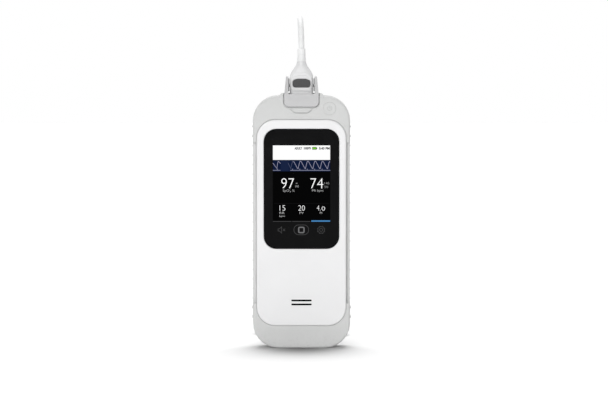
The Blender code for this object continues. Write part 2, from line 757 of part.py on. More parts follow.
def make_boot():
    body = box_outline(-BOOT_HALF, BOOT_HALF, 0, BOOT_HEIGHT, BOOT_CORNER)
    boot = slab("boot body", body, -BOOT_FRONT, BOOT_BACK, "XZ", BOOT_EDGE)
    collar_outline = rounded([
        (-COLLAR_HALF_FOOT, COLLAR_FOOT, 0),
        (COLLAR_HALF_FOOT, COLLAR_FOOT, 0),
        (COLLAR_HALF_FOOT, COLLAR_SHOULDER, COLLAR_ROUND),
        (COLLAR_HALF_TOP, COLLAR_TOP, COLLAR_ROUND),
        (-COLLAR_HALF_TOP, COLLAR_TOP, COLLAR_ROUND),
        (-COLLAR_HALF_FOOT, COLLAR_SHOULDER, COLLAR_ROUND),
    ], SMALL_CORNER_STEPS)
    collar = slab("collar", collar_outline, -COLLAR_FRONT, COLLAR_BACK, "XZ", COLLAR_EDGE)
    join(boot, collar, side_ribs())
    front = -(BOOT_FRONT + OVERRUN)
    inside = slab("boot inside", case_outline(-GAP), -(SETBACK_FRONT + GAP), CASE_BACK + GAP)
    window = slab("face window", face_outline(-FACE_FIT), front, -SETBACK_FRONT)
    lip = block(
        "lip cut", -BOOT_HALF - OVERRUN, BOOT_HALF + OVERRUN, front,
        LIP_CUT_DEPTH - BOOT_FRONT, LIP_CUT_LOW, LIP_CUT_HIGH,
    )
    corner = FLAP_CORNER + FLAP_SIDE_GAP
    low = FLAP_LOW - FLAP_LOW_GAP
    top = COLLAR_TOP + OVERRUN
    bay_outline = rounded([
        (-BAY_HALF, low, corner), (BAY_HALF, low, corner), (BAY_HALF, top, 0), (-BAY_HALF, top, 0),
    ])
    flap_bay = slab("flap bay", bay_outline, front, -(FLAP_FRONT - FLAP_THICK - GAP))
    arm_bay = block("arm bay", -BAY_HALF, BAY_HALF, front, BAY_BACK, BAY_FLOOR, top)
    recess = slab("finger recess", recess_outline(low), front, FINGER_DEPTH - BOOT_FRONT)
    groove = ring(
        "finger groove", recess_outline(low), recess_outline(low + OVERRUN, FINGER_GROOVE), front,
        FINGER_GROOVE_DEPTH - BOOT_FRONT,
    )
    key_hole = disc(
        "key hole", KEY_SIDE, KEY_LEVEL, KEY_RADIUS + GAP, front, -SETBACK_FRONT, sides=ROUND_SIDES
    )
    well = plug_well("boot well")
    cut(boot, inside, window, lip, flap_bay, arm_bay, groove, recess, key_hole, well)
    return piece(boot, "protective_boot", "silicone_grey")


def speaker_slot(name, level):
    half = SLOT_WIDTH / 2
    outline = box_outline(
        -half, half, level - SLOT_HEIGHT / 2, level + SLOT_HEIGHT / 2,
        SLOT_HEIGHT * 0.45, SMALL_CORNER_STEPS,
    )
    return slab(name, outline, -(FACE_FRONT + OVERRUN), FACE_BACK + OVERRUN)


def make_front_housing():
    front = -(FACE_FRONT + OVERRUN)
    rim = -GAP / 2
    housing = slab("front housing", case_outline(), -SETBACK_FRONT, rim)
    face = slab("face", face_outline(), -FACE_FRONT, rim - CASE_WALL, "XZ", FACE_EDGE)
    join(housing, face)
    behind_face = slab("behind face", face_outline(CASE_WALL), FACE_BACK, OVERRUN)
    behind_setback = slab(
        "behind set-back", case_outline(CASE_WALL), SETBACK_WALL - SETBACK_FRONT, OVERRUN
    )
    cut(housing, behind_face, behind_setback)
    posts = [
        disc(f"front boss {index}", across, level, BOSS_RADIUS, FACE_BACK - EMBED, rim)
        for index, (across, level) in enumerate(SCREW_PLACES)
    ]
    posts += [
        disc(
            f"standoff {index}", across, level, STANDOFF_RADIUS, FACE_BACK - EMBED,
            BOARD_FRONT - GAP,
        )
        for index, (across, level) in enumerate(BOARD_SCREW_PLACES)
    ]
    join(housing, *posts)
    pocket = slab("glass pocket", glass_outline(-GAP), front, POCKET_FLOOR)
    half = ACTIVE_WIDTH / 2 + WINDOW_MARGIN
    window = block(
        "display window", -half, half, front, FACE_BACK + OVERRUN,
        ACTIVE_LOW - WINDOW_MARGIN, ACTIVE_LOW + ACTIVE_HEIGHT + WINDOW_MARGIN,
    )
    mesh_half = MESH_WIDTH / 2 + GAP
    mesh_pocket = block(
        "mesh pocket", -mesh_half, mesh_half, MESH_COVER - FACE_FRONT, FACE_BACK + OVERRUN,
        SPEAKER_LEVEL - MESH_HEIGHT / 2 - GAP, SPEAKER_LEVEL + MESH_HEIGHT / 2 + GAP,
    )
    stem_way = disc(
        "stem way", KEY_SIDE, KEY_LEVEL, KEY_STEM_RADIUS + GAP, front,
        SETBACK_WALL - SETBACK_FRONT + OVERRUN,
    )
    holes = [
        disc(
            f"front screw hole {index}", across, level, SCREW_RADIUS + GAP,
            SCREW_SEAT + GAP - SCREW_LENGTH - GAP, OVERRUN,
        )
        for index, (across, level) in enumerate(SCREW_PLACES)
    ]
    holes += [
        disc(
            f"standoff hole {index}", across, level, BOARD_SCREW_RADIUS + GAP,
            BOARD_BACK + GAP - BOARD_SCREW_LENGTH - GAP, OVERRUN,
        )
        for index, (across, level) in enumerate(BOARD_SCREW_PLACES)
    ]
    slots = [speaker_slot("upper slot", SLOT_UPPER), speaker_slot("lower slot", SLOT_LOWER)]
    cut(housing, pocket, window, mesh_pocket, stem_way, plug_well("front well"), *slots, *holes)
    return piece(housing, "front_housing", "white_plastic")


def make_rear_housing():
    rim = GAP / 2
    housing = slab("rear housing", case_outline(), rim, CASE_BACK)
    hollow = slab("rear hollow", case_outline(CASE_WALL), -OVERRUN, CASE_BACK - BACK_WALL)
    cut(housing, hollow)
    floor = CASE_BACK - BACK_WALL + EMBED
    bosses = [
        disc(f"rear boss {index}", across, level, BOSS_RADIUS, rim, floor)
        for index, (across, level) in enumerate(SCREW_PLACES)
    ]
    join(housing, *bosses)
    groove_side = (CASE_WALL - SEAL_WIDTH) / 2 - GAP
    groove = ring(
        "seal groove", case_outline(groove_side), case_outline(CASE_WALL - groove_side),
        -OVERRUN, rim + SEAL_DEPTH + 2 * GAP,
    )
    holes = []
    for index, (across, level) in enumerate(SCREW_PLACES):
        shank = SCREW_RADIUS + GAP
        head = SCREW_HEAD_RADIUS + GAP
        back = CASE_BACK + OVERRUN
        holes.append(disc(f"rear screw hole {index}", across, level, shank, -OVERRUN, back))
        holes.append(disc(f"head hole {index}", across, level, head, SCREW_SEAT, back))
    cut(housing, groove, plug_well("rear well"), *holes)
    return piece(housing, "rear_housing", "white_plastic")


def make_seal():
    side = (CASE_WALL - SEAL_WIDTH) / 2
    front = GAP / 2 + GAP
    outer = case_outline(side)
    inner = case_outline(CASE_WALL - side)
    made = ring("seal", outer, inner, front, front + SEAL_DEPTH)
    cut(made, plug_well("seal well"))
    return piece(made, "housing_seal", "black_plastic")


def make_screw(name, across, level, seat, radius, head_radius, head_thick, length, look):
    """A pan head screw along Y: its head lies behind seat, its shank runs to the front."""
    head = disc(
        name + " head", across, level, head_radius, seat, seat + head_thick,
        sides=SMALL_ROUND_SIDES,
    )
    shank = disc(
        name + " shank", across, level, radius, seat - length, seat + head_thick / 2, sides=12
    )
    join(head, shank)
    drive = disc(
        name + " drive", across, level, DRIVE_RADIUS, seat + head_thick - DRIVE_DEPTH,
        seat + head_thick + OVERRUN, sides=6,
    )
    cut(head, drive)
    return piece(head, name, look)


def make_screws():
    for index, (across, level) in enumerate(SCREW_PLACES, 1):
        make_screw(
            f"housing_screw_{index}", across, level, SCREW_SEAT + GAP, SCREW_RADIUS,
            SCREW_HEAD_RADIUS, SCREW_HEAD_THICK, SCREW_LENGTH, "steel",
        )
    for index, (across, level) in enumerate(BOARD_SCREW_PLACES, 1):
        make_screw(
            f"board_screw_{index}", across, level, BOARD_BACK + GAP, BOARD_SCREW_RADIUS,
            BOARD_SCREW_HEAD, BOARD_SCREW_HEAD_THICK, BOARD_SCREW_LENGTH, "steel",
        )


def make_glass():
    back = GLASS_THICK - FACE_FRONT
    glass = slab("glass", glass_outline(), -FACE_FRONT, back, "XZ", GLASS_EDGE)
    piece(glass, "cover_glass", "cover_black")
    low = back + GAP
    gasket = ring("gasket", glass_outline(), glass_outline(GASKET_WIDTH), low, low + GASKET_THICK)
    piece(gasket, "glass_gasket", "black_plastic")


def make_display():
    half = MODULE_WIDTH / 2
    back = MODULE_FRONT + MODULE_THICK
    module = block(
        "module", -half, half, MODULE_FRONT, back, MODULE_LOW, MODULE_HIGH, 0, MODULE_CORNER
    )
    piece(module, "display_module", "display_dark")
    half = KEY_BOARD_WIDTH / 2
    keys = block(
        "keys", -half, half, MODULE_FRONT, MODULE_FRONT + KEY_BOARD_THICK,
        KEY_BOARD_HIGH - KEY_BOARD_HEIGHT, KEY_BOARD_HIGH, 0, MODULE_CORNER,
    )
    piece(keys, "touch_key_board", "board_green")
    half = FLEX_WIDTH / 2
    flex_front = back + GAP
    flex = block(
        "flex", -half, half, flex_front, flex_front + FLEX_THICK, FLEX_LOW,
        FLEX_LOW + FLEX_HEIGHT, 0, MODULE_CORNER,
    )
    piece(flex, "display_flex_cable", "flex_amber")


def make_boards():
    half = BOARD_WIDTH / 2
    board = block(
        "board", -half, half, BOARD_FRONT, BOARD_BACK, BOARD_LOW, BOARD_HIGH, 0, BOARD_CORNER
    )
    holes = [
        disc(
            f"board hole {index}", across, level, BOARD_SCREW_RADIUS + GAP,
            BOARD_FRONT - OVERRUN, BOARD_BACK + OVERRUN,
        )
        for index, (across, level) in enumerate(BOARD_SCREW_PLACES)
    ]
    cut(board, *holes)
    piece(board, "main_circuit_board", "board_green")
    half = LINK_WIDTH / 2
    link = block(
        "link", -half, half, LINK_FRONT, LINK_FRONT + LINK_THICK, LINK_LOW, LINK_LOW + LINK_HEIGHT
    )
    piece(link, "board_connector", "black_plastic")
    half = SENSOR_BOARD_WIDTH / 2
    second = block(
        "second board", -half, half, SENSOR_BOARD_FRONT, SENSOR_BOARD_FRONT + SENSOR_BOARD_THICK,
        SENSOR_BOARD_LOW, SENSOR_BOARD_HIGH, 0, BOARD_CORNER,
    )
    piece(second, "sensor_module_board", "board_green")
    half = CAN_WIDTH / 2
    can = block(
        "can", -half, half, CAN_FRONT, CAN_FRONT + CAN_THICK, CAN_LOW, CAN_HIGH, CAN_EDGE,
        BOARD_CORNER,
    )
    piece(can, "shield_can", "steel")


def make_battery():
    half = BATTERY_WIDTH / 2
    pack = block(
        "pack", -half, half, BATTERY_FRONT, BATTERY_BACK, BATTERY_LOW, BATTERY_HIGH,
        BATTERY_EDGE, BATTERY_CORNER,
    )
    piece(pack, "battery_pack", "battery_wrap")
    half = BATTERY_WIDTH / 2 - PAD_MARGIN
    front = BATTERY_BACK + GAP
    pad = block(
        "pad", -half, half, front, front + PAD_THICK, BATTERY_LOW + PAD_MARGIN,
        BATTERY_HIGH - PAD_MARGIN,
    )
    piece(pad, "battery_pad", "foam_grey")


def make_speaker():
    half = MESH_WIDTH / 2
    front = MESH_COVER - FACE_FRONT + GAP
    grille = block(
        "grille", -half, half, front, front + MESH_THICK, SPEAKER_LEVEL - MESH_HEIGHT / 2,
        SPEAKER_LEVEL + MESH_HEIGHT / 2,
    )
    piece(grille, "speaker_mesh", "black_plastic")
    front = FACE_BACK + GAP
    back = front + SPEAKER_GASKET_THICK
    outer = round_outline(0, SPEAKER_LEVEL, SPEAKER_RADIUS, ROUND_SIDES)
    inner = round_outline(0, SPEAKER_LEVEL, SPEAKER_RADIUS - SPEAKER_GASKET_WIDTH, ROUND_SIDES)
    piece(ring("gasket", outer, inner, front, back), "speaker_gasket", "foam_grey")
    front = back + GAP
    driver = slab("driver", outer, front, front + SPEAKER_THICK, "XZ", SPEAKER_RIM)
    piece(driver, "speaker", "black_plastic")


def make_switch():
    board = block(
        "switch board", SWITCH_BOARD_LEFT, SWITCH_BOARD_RIGHT, SWITCH_BOARD_FRONT,
        SWITCH_BOARD_FRONT + SWITCH_BOARD_THICK, SWITCH_BOARD_LOW, SWITCH_BOARD_HIGH,
    )
    piece(board, "power_switch_board", "board_green")
    back = SWITCH_BOARD_FRONT - GAP
    switch = disc("switch", KEY_SIDE, KEY_LEVEL, SWITCH_RADIUS, back - SWITCH_THICK, back)
    piece(switch, "power_switch", "steel")


def power_mark():
    """A raised power sign: three quarters of a ring and a bar through its open top."""
    front = KEY_FRONT - KEY_MARK_WIRE / 4
    points = []
    for step in range(13):
        angle = math.radians(125 + 290 * step / 12)
        across = KEY_SIDE + KEY_MARK_RADIUS * math.cos(angle)
        points.append((across, front, KEY_LEVEL + KEY_MARK_RADIUS * math.sin(angle)))
    arc = tube("mark arc", points, KEY_MARK_WIRE, 0)
    ends_shares = (0.25, 1.25)
    places = [
        (KEY_SIDE, front, KEY_LEVEL + KEY_MARK_RADIUS * share) for share in ends_shares
    ]
    return arc, tube("mark bar", places, KEY_MARK_WIRE, 0)


def make_power_key():
    back = KEY_FRONT + KEY_THICK
    key = disc(
        "key", KEY_SIDE, KEY_LEVEL, KEY_RADIUS, KEY_FRONT, back, edge=KEY_EDGE, sides=ROUND_SIDES
    )
    stem = disc(
        "stem", KEY_SIDE, KEY_LEVEL, KEY_STEM_RADIUS, back - EMBED, back + KEY_STEM_LENGTH
    )
    join(key, stem, *power_mark())
    return piece(key, "power_button", "silicone_grey", (KEY_SIDE, KEY_FRONT, KEY_LEVEL))


def make_socket():
    half = SOCKET_WIDTH / 2
    depth = SOCKET_DEPTH / 2
    low = SOCKET_TOP - SOCKET_HEIGHT
    socket = block("socket", -half, half, -depth, depth, low, SOCKET_TOP)
    blade_half = BLADE_WIDTH / 2
    contact_front = BLADE_THICK / 2 + GAP
    contact_back = contact_front + CONTACT_THICK
    slot = block(
        "blade slot", -blade_half - GAP, blade_half + GAP, -BLADE_THICK / 2 - GAP,
        contact_back + GAP, BLADE_LOW - GAP, SOCKET_TOP + OVERRUN,
    )
    cut(socket, slot)
    piece(socket, "cable_socket", "black_plastic")
    bar_top = BLADE_LOW + CONTACT_BAR
    bar = block("bar", -blade_half, blade_half, contact_front, contact_back, BLADE_LOW, bar_top)
    pitch = (BLADE_WIDTH - CONTACT_WIDTH) / (CONTACT_COUNT - 1)
    fingers = []
    for index in range(CONTACT_COUNT):
        left = -blade_half + index * pitch
        inset = CONTACT_THICK / 8
        fingers.append(block(
            "finger", left, left + CONTACT_WIDTH, contact_front + inset, contact_back - inset,
            bar_top - CONTACT_BAR / 2, BLADE_LOW + CONTACT_HEIGHT,
        ))
    join(bar, merge("fingers", fingers))
    piece(bar, "socket_contacts", "gold")


def make_bail():
    half = FLAP_WIDTH / 2
    outline = rounded([
        (-half, FLAP_LOW, FLAP_CORNER), (half, FLAP_LOW, FLAP_CORNER),
        (half, FLAP_HIGH, 0), (-half, FLAP_HIGH, 0),
    ])
    back = FLAP_THICK - FLAP_FRONT
    flap = slab("flap", outline, -FLAP_FRONT, back, "XZ", FLAP_EDGE)
    foot_front = -FLAP_FRONT + FLAP_EDGE / 2
    foot_back = back - FLAP_EDGE / 2
    foot_low = ARM_LOW - FLAP_THICK
    lean = ARM_TIP_WIDTH / 2
    side_view = rounded([
        (foot_front, foot_low, 0),
        (foot_back, foot_low, 0),
        (foot_back, ARM_LOW, 0),
        (0, ARM_LOW, ARM_CORNER),
        (ARM_BACK, ARM_LOW + ARM_BACK, ARM_CORNER),
        (lean, ARM_TOP, ARM_CORNER),
        (-lean, ARM_TOP, ARM_CORNER),
        (foot_front, FLAP_HIGH + FLAP_EDGE, ARM_CORNER),
    ], SMALL_CORNER_STEPS)
    pieces = []
    for side in (-1, 1):
        front_view = rounded([
            (side * ARM_INSIDE, foot_low - OVERRUN, 0),
            (side * ARM_OUTSIDE_LOW, foot_low - OVERRUN, 0),
            (side * ARM_OUTSIDE_LOW, FLAP_HIGH, 0),
            (side * ARM_OUTSIDE_HIGH, ARM_TOP, ARM_EDGE * 2),
            (side * ARM_INSIDE, ARM_TOP, ARM_EDGE),
        ], SMALL_CORNER_STEPS)
        front = foot_front - OVERRUN
        arm = slab(f"arm {side}", front_view, front, ARM_BACK + OVERRUN)
        low, high = sorted((side * (ARM_INSIDE - OVERRUN), side * (ARM_OUTSIDE_LOW + OVERRUN)))
        keep(arm, slab(f"arm side {side}", side_view, low, high, "YZ"))
        low, high = sorted((side * (PLUG_HALF - NUB_REACH), side * (ARM_INSIDE + EMBED)))
        nub = disc(f"nub {side}", 0, PIVOT_LEVEL, NUB_RADIUS, low, high, "YZ", sides=16)
        low, high = sorted((side * (PLUG_HALF + GAP), side * (ARM_INSIDE + EMBED / 2)))
        web = block(f"web {side}", low, high, WEB_FRONT, WEB_BACK, WEB_LOW, WEB_HIGH)
        pieces += [arm, nub, web]
    join(flap, *pieces)
    return piece(flap, "lock_bail", "bail_grey", (0, 0, PIVOT_LEVEL))


def mirrored(right_side):
    """Closes an outline from the corners of its right half, low to high."""
    return list(right_side) + [(-across, level, radius) for across, level, radius in right_side[::-1]]


def make_plug():
    low_sections = (
        (PLUG_LOW, PLUG_HALF - PLUG_FOOT_EDGE, PLUG_HALF_DEPTH - PLUG_FOOT_EDGE, PLUG_SQUARENESS),
        (PLUG_LOW + PLUG_FOOT_EDGE, PLUG_HALF, PLUG_HALF_DEPTH, PLUG_SQUARENESS),
    )
    high_sections = [
        (PLUG_TOP - drop, wide, deep, square) for drop, wide, deep, square in PLUG_PROFILE[::-1]
    ]
    plug = lofted("plug", (*low_sections, *high_sections), PLUG_SIDES)
    depth = PLUG_HALF_DEPTH
    panel_front = -depth - PANEL_RISE
    step_front = panel_front - STEP_RISE
    inside = EMBED - depth
    panel_view = rounded(mirrored((
        (PANEL_HALF, PANEL_LOW, PANEL_ROUND),
        (PANEL_HALF, PANEL_SIDE_TOP, PANEL_SHOULDER),
        (PANEL_HALF / 2, PANEL_TOP, PANEL_SHOULDER),
    )), SMALL_CORNER_STEPS)
    panel = slab("panel", panel_view, panel_front, inside, "XZ", PANEL_EDGE)
    low = PANEL_LOW + PANEL_HALF - STEP_HALF
    step_view = rounded(mirrored((
        (STEP_HALF, low, PANEL_ROUND),
        (STEP_HALF, STEP_SIDE_TOP, PANEL_SHOULDER),
        (STEP_HALF / 2, STEP_TOP, PANEL_SHOULDER),
    )), SMALL_CORNER_STEPS)
    step = slab("step", step_view, step_front, inside - GAP, "XZ", PANEL_EDGE)
    join(plug, panel, step, solver="MANIFOLD")
    thumb_front = step_front - THUMB_RISE
    thumb_back = thumb_front + THUMB_THICK
    pocket = slab("thumb pocket", thumb_outline(GAP), thumb_front - OVERRUN, thumb_back + GAP)
    half = BLADE_WIDTH / 2 + GAP
    slot = block(
        "plug slot", -half, half, -BLADE_THICK / 2 - GAP, BLADE_THICK / 2 + GAP,
        PLUG_LOW - OVERRUN, BLADE_TOP + GAP,
    )
    foot = PLUG_TOP - RELIEF_FOOT_LENGTH - GAP
    well = disc("foot well", 0, 0, RELIEF_FOOT_RADIUS + GAP, foot, PLUG_TOP + OVERRUN, "XY")
    dimples = []
    for side in (-1, 1):
        deep = side * (PLUG_HALF - NUB_REACH - GAP)
        low, high = sorted((deep, side * (PLUG_HALF + OVERRUN)))
        radius = NUB_RADIUS + GAP
        dimples.append(
            disc(f"nub dimple {side}", 0, PIVOT_LEVEL, radius, low, high, "YZ", sides=16)
        )
    for side in (-1, 1):
        dimples.append(disc(
            f"neck dimple {side}", side * DIMPLE_SIDE, PLUG_DIMPLE_LEVEL, DIMPLE_RADIUS,
            -(PLUG_HALF_DEPTH + OVERRUN), -PLUG_DIMPLE_FLOOR, sides=10,
        ))
    cut(plug, pocket, slot, well, *dimples, solver="MANIFOLD")
    piece(plug, "connector_plug", "white_plastic")
    pad = slab("pad", thumb_outline(), thumb_front, thumb_back, "XZ", THUMB_EDGE)
    piece(pad, "plug_thumb_pad", "thumb_grey")
    half = BLADE_WIDTH / 2
    blade = block(
        "blade", -half, half, -BLADE_THICK / 2, BLADE_THICK / 2, BLADE_LOW, BLADE_TOP
    )
    piece(blade, "plug_contact_blade", "board_green")


def thumb_outline(grow=0.0):
    half = THUMB_WIDTH / 2 + grow
    return rounded(mirrored((
        (half, THUMB_LOW - grow, THUMB_CORNER + grow),
        (half, THUMB_SIDE_TOP + grow, THUMB_CORNER + grow),
        (half / 2, THUMB_TOP + grow, THUMB_CORNER + grow),
    )), SMALL_CORNER_STEPS)


def make_strain_relief():
    foot = PLUG_TOP - RELIEF_FOOT_LENGTH
    base = PLUG_TOP + PLUG_SEAM
    tip = RELIEF_TOP_RADIUS
    profile = (
        (0, RELIEF_TOP), (tip - RELIEF_EDGE, RELIEF_TOP), (tip, RELIEF_TOP - RELIEF_EDGE),
        ((tip + RELIEF_LOW_RADIUS) * 0.485, (RELIEF_TOP + 2 * base) / 3),
        (RELIEF_LOW_RADIUS, base + RELIEF_EDGE), (RELIEF_LOW_RADIUS, base),
        (RELIEF_FOOT_RADIUS, base), (RELIEF_FOOT_RADIUS, foot), (0, foot),
    )
    relief = turned("relief", profile, (0, 0, 0))
    dimples = []
    for side in (-1, 1):
        front = -(RELIEF_LOW_RADIUS + OVERRUN)
        dimples.append(disc(
            "dimple", side * DIMPLE_SIDE, DIMPLE_LEVEL, DIMPLE_RADIUS, front, -DIMPLE_FLOOR,
            sides=10,
        ))
    cut(relief, merge("dimples", dimples))
    piece(relief, "strain_relief", "cord_white")


def smooth_route(points, step):
    """Points about a step apart on a centripetal Catmull-Rom curve through the route's points."""
    places = [Vector(point) for point in points]
    places = [2 * places[0] - places[1]] + places + [2 * places[-1] - places[-2]]
    dense = []
    for before, first, second, after in zip(places, places[1:], places[2:], places[3:]):
        knots = [0.0]
        for one, two in ((before, first), (first, second), (second, after)):
            knots.append(knots[-1] + math.sqrt((two - one).length))
        for part in range(24):
            at = knots[1] + (knots[2] - knots[1]) * part / 24
            level = [before, first, second, after]
            for span in (1, 2, 3):
                level = [
                    one.lerp(two, blend(at, knots, index, span))
                    for index, (one, two) in enumerate(zip(level, level[1:]))
                ]
            dense.append(level[0])
    dense.append(places[-2])
    return spaced(dense, step)


def blend(at, knots, index, span):
    """How far along its pair of knots a Catmull-Rom blend lies, for each of its three rounds."""
    low = index if span != 2 else index
    high = index + span if span == 1 else index + 2
    if span == 3:
        low, high = 1, 2
    return (at - knots[low]) / (knots[high] - knots[low])


def spaced(dense, step):
    """The same line with its points a steady step apart."""
    lengths = [0.0]
    for one, two in zip(dense, dense[1:]):
        lengths.append(lengths[-1] + (two - one).length)
    count = max(2, round(lengths[-1] / step))
    result, index = [], 0
    for number in range(count + 1):
        want = lengths[-1] * number / count
        while index < len(dense) - 2 and lengths[index + 1] < want:
            index += 1
        span = lengths[index + 1] - lengths[index]
        result.append(dense[index].lerp(dense[index + 1], (want - lengths[index]) / span))
    return result


CORD_WIDE = 2 * CORD_RADIUS


def make_lead():
    start = Vector((0, 0, RELIEF_TOP + GAP))
    rise = start + Vector((0, 0, CORD_WIDE))
    finish = Vector((-CORD_WIDE - GAP, COIL_CENTRE_BACK - COIL_OUTER, COIL_LEVEL))
    run = finish - Vector((CORD_WIDE, 0, 0))
    middle = smooth_route((rise, *LEAD_ROUTE, run), CORD_STEP)
    lead = tube("lead", [start, *middle, finish], CORD_RADIUS, 2)
    return piece(lead, "sensor_cable", "cord_white")


def coil_points():
    """Loops that wind in on the lower layer, climb as they reverse, and wind out on the upper."""
    half = COIL_TURNS / 2
    count = round(COIL_TURNS * COIL_POINTS)
    points = []
    for index in range(count + 1):
        turn = index / COIL_POINTS
        radius = COIL_OUTER - COIL_PITCH * min(turn, COIL_TURNS - turn)
        climb = min(max((turn - half) * 2 + 0.5, 0.0), 1.0)
        climb = climb * climb * (3 - 2 * climb)
        angle = math.radians(COIL_START_DEG) + math.tau * turn
        across = radius * math.cos(angle)
        back = COIL_CENTRE_BACK + radius * math.sin(angle)
        points.append(Vector((across, back, COIL_LEVEL + COIL_LAYER * climb)))
    first = points[0] - Vector((CORD_WIDE, 0, 0))
    last = points[-1] + Vector((0, CORD_WIDE, 0))
    return [first, *points, last]


def least_gap(points, near):
    """The least space between parts of a tube that are further apart along it than near."""
    dense = spaced(points, CORD_RADIUS / 2)
    skip = round(near / (CORD_RADIUS / 2))
    least = math.inf
    for index, place in enumerate(dense):
        for other in dense[index + skip:]:
            least = min(least, (place - other).length)
    return least - CORD_WIDE


def make_coil():
    points = coil_points()
    print(f"coil self-gap {least_gap(points, 6 * CORD_WIDE) / MM:.2f} mm")
    coil = tube("coil", points, CORD_RADIUS, 1)
    return piece(coil, "cable_coil", "cord_white")


def make_tail():
    start = coil_points()[-1] + Vector((0, GAP, 0))
    run = start + Vector((0, CORD_WIDE, 0))
    tip = SENSOR_RIGHT + SENSOR_RELIEF_LENGTH + 2 * GAP
    finish = Vector((tip, SENSOR_BACK, SENSOR_RELIEF_LEVEL))
    approach = finish + Vector((CORD_WIDE, 0, 0))
    middle = smooth_route((run, *TAIL_ROUTE, approach), CORD_STEP * 0.6)
    tail = tube("tail", [start, *middle, finish], CORD_RADIUS, 2)
    return piece(tail, "cable_tail", "cord_white")


def sensor_disc(name, across, level, radius, low, high, sides=SMALL_ROUND_SIDES):
    """A disc across the sensor, its ends given from the sensor's middle line."""
    return disc(
        name, across, level, radius, SENSOR_BACK + low, SENSOR_BACK + high, sides=sides
    )


def finger_channel(name, radius, back):
    return disc(
        name, SENSOR_BACK, SENSOR_SPLIT, radius, SENSOR_LEFT - OVERRUN, back, "YZ",
        sides=ROUND_SIDES,
    )


def pin_bore(name):
    half = SENSOR_WIDTH / 2 + OVERRUN
    return sensor_disc(name, HINGE_SIDE, SENSOR_SPLIT, PIN_RADIUS + GAP, -half, half)


KNUCKLE_INSIDE = SPRING_PITCH * SPRING_TURNS / 2 + 3 * GAP
KNUCKLE_OUTSIDE = KNUCKLE_INSIDE + KNUCKLE_WIDTH
EAR_INSIDE = KNUCKLE_OUTSIDE + GAP
EAR_OUTSIDE = EAR_INSIDE + EAR_WIDTH
CHANNEL_END = SENSOR_LEFT + CHANNEL_LENGTH


def make_lower_shell():
    half = SENSOR_WIDTH / 2
    outline = rounded([
        (SENSOR_LEFT, 0, SENSOR_NOSE / 2), (SENSOR_RIGHT, 0, SENSOR_NOSE / 2),
        (SENSOR_RIGHT, LOWER_TOP, SENSOR_NOSE / 2), (SENSOR_LEFT, LOWER_TOP, SENSOR_NOSE / 2),
    ], SMALL_CORNER_STEPS)
    shell = slab("lower", outline, SENSOR_BACK - half, SENSOR_BACK + half, "XZ", SENSOR_EDGE)
    cut(shell, finger_channel("lower channel", CHANNEL_RADIUS, CHANNEL_END))
    ears = []
    for side in (-1, 1):
        low, high = sorted((side * EAR_INSIDE, side * EAR_OUTSIDE))
        ears.append(sensor_disc(f"ear {side}", HINGE_SIDE, SENSOR_SPLIT, EAR_RADIUS, low, high))
    join(shell, *ears)
    reach = KNUCKLE_RADIUS + 2 * GAP
    notch = block(
        "knuckle notch", HINGE_SIDE - reach, HINGE_SIDE + reach, SENSOR_BACK - EAR_INSIDE,
        SENSOR_BACK + EAR_INSIDE, SENSOR_SPLIT - reach, SENSOR_SPLIT + OVERRUN,
    )
    cut(shell, notch, pin_bore("lower pin bore"))
    return piece(shell, "sensor_lower_shell", "white_plastic")


def make_upper_shell():
    half = SENSOR_WIDTH / 2
    middle = (SENSOR_LEFT + SENSOR_RIGHT) / 2
    outline = rounded([
        (SENSOR_LEFT, UPPER_LOW, PLUG_EDGE),
        (HINGE_SIDE + GAP, UPPER_LOW, 0),
        (SENSOR_RIGHT, SENSOR_HEEL, PLUG_EDGE),
        (SENSOR_RIGHT, SENSOR_HEIGHT - SENSOR_NOSE / 2, SENSOR_NOSE / 2),
        (middle, SENSOR_HEIGHT, SENSOR_NOSE),
        (SENSOR_LEFT, SENSOR_HEIGHT - SENSOR_NOSE / 2, SENSOR_NOSE / 2),
    ], SMALL_CORNER_STEPS)
    shell = slab("upper", outline, SENSOR_BACK - half, SENSOR_BACK + half, "XZ", SENSOR_EDGE)
    cut(shell, finger_channel("upper channel", CHANNEL_RADIUS, CHANNEL_END))
    knuckles = []
    for side in (-1, 1):
        low, high = sorted((side * KNUCKLE_INSIDE, side * KNUCKLE_OUTSIDE))
        radius = KNUCKLE_RADIUS
        knuckles.append(
            sensor_disc(f"knuckle {side}", HINGE_SIDE, SENSOR_SPLIT, radius, low, high)
        )
    join(shell, *knuckles)
    reach = EAR_RADIUS + GAP
    notches = []
    for side in (-1, 1):
        front, back = sorted((
            SENSOR_BACK + side * KNUCKLE_OUTSIDE, SENSOR_BACK + side * (half + OVERRUN),
        ))
        notches.append(block(
            f"ear notch {side}", HINGE_SIDE - reach, HINGE_SIDE + reach, front, back,
            SENSOR_SPLIT - reach, SENSOR_SPLIT + reach,
        ))
    spring_half = KNUCKLE_INSIDE - GAP / 2
    spring_way = sensor_disc(
        "spring way", HINGE_SIDE, SENSOR_SPLIT, SPRING_RADIUS + SPRING_WIRE + GAP, -spring_half,
        spring_half,
    )
    cut(shell, *notches, spring_way, pin_bore("upper pin bore"))
    pivot = (HINGE_SIDE, SENSOR_BACK, SENSOR_SPLIT)
    return piece(shell, "sensor_upper_shell", "white_plastic", pivot)


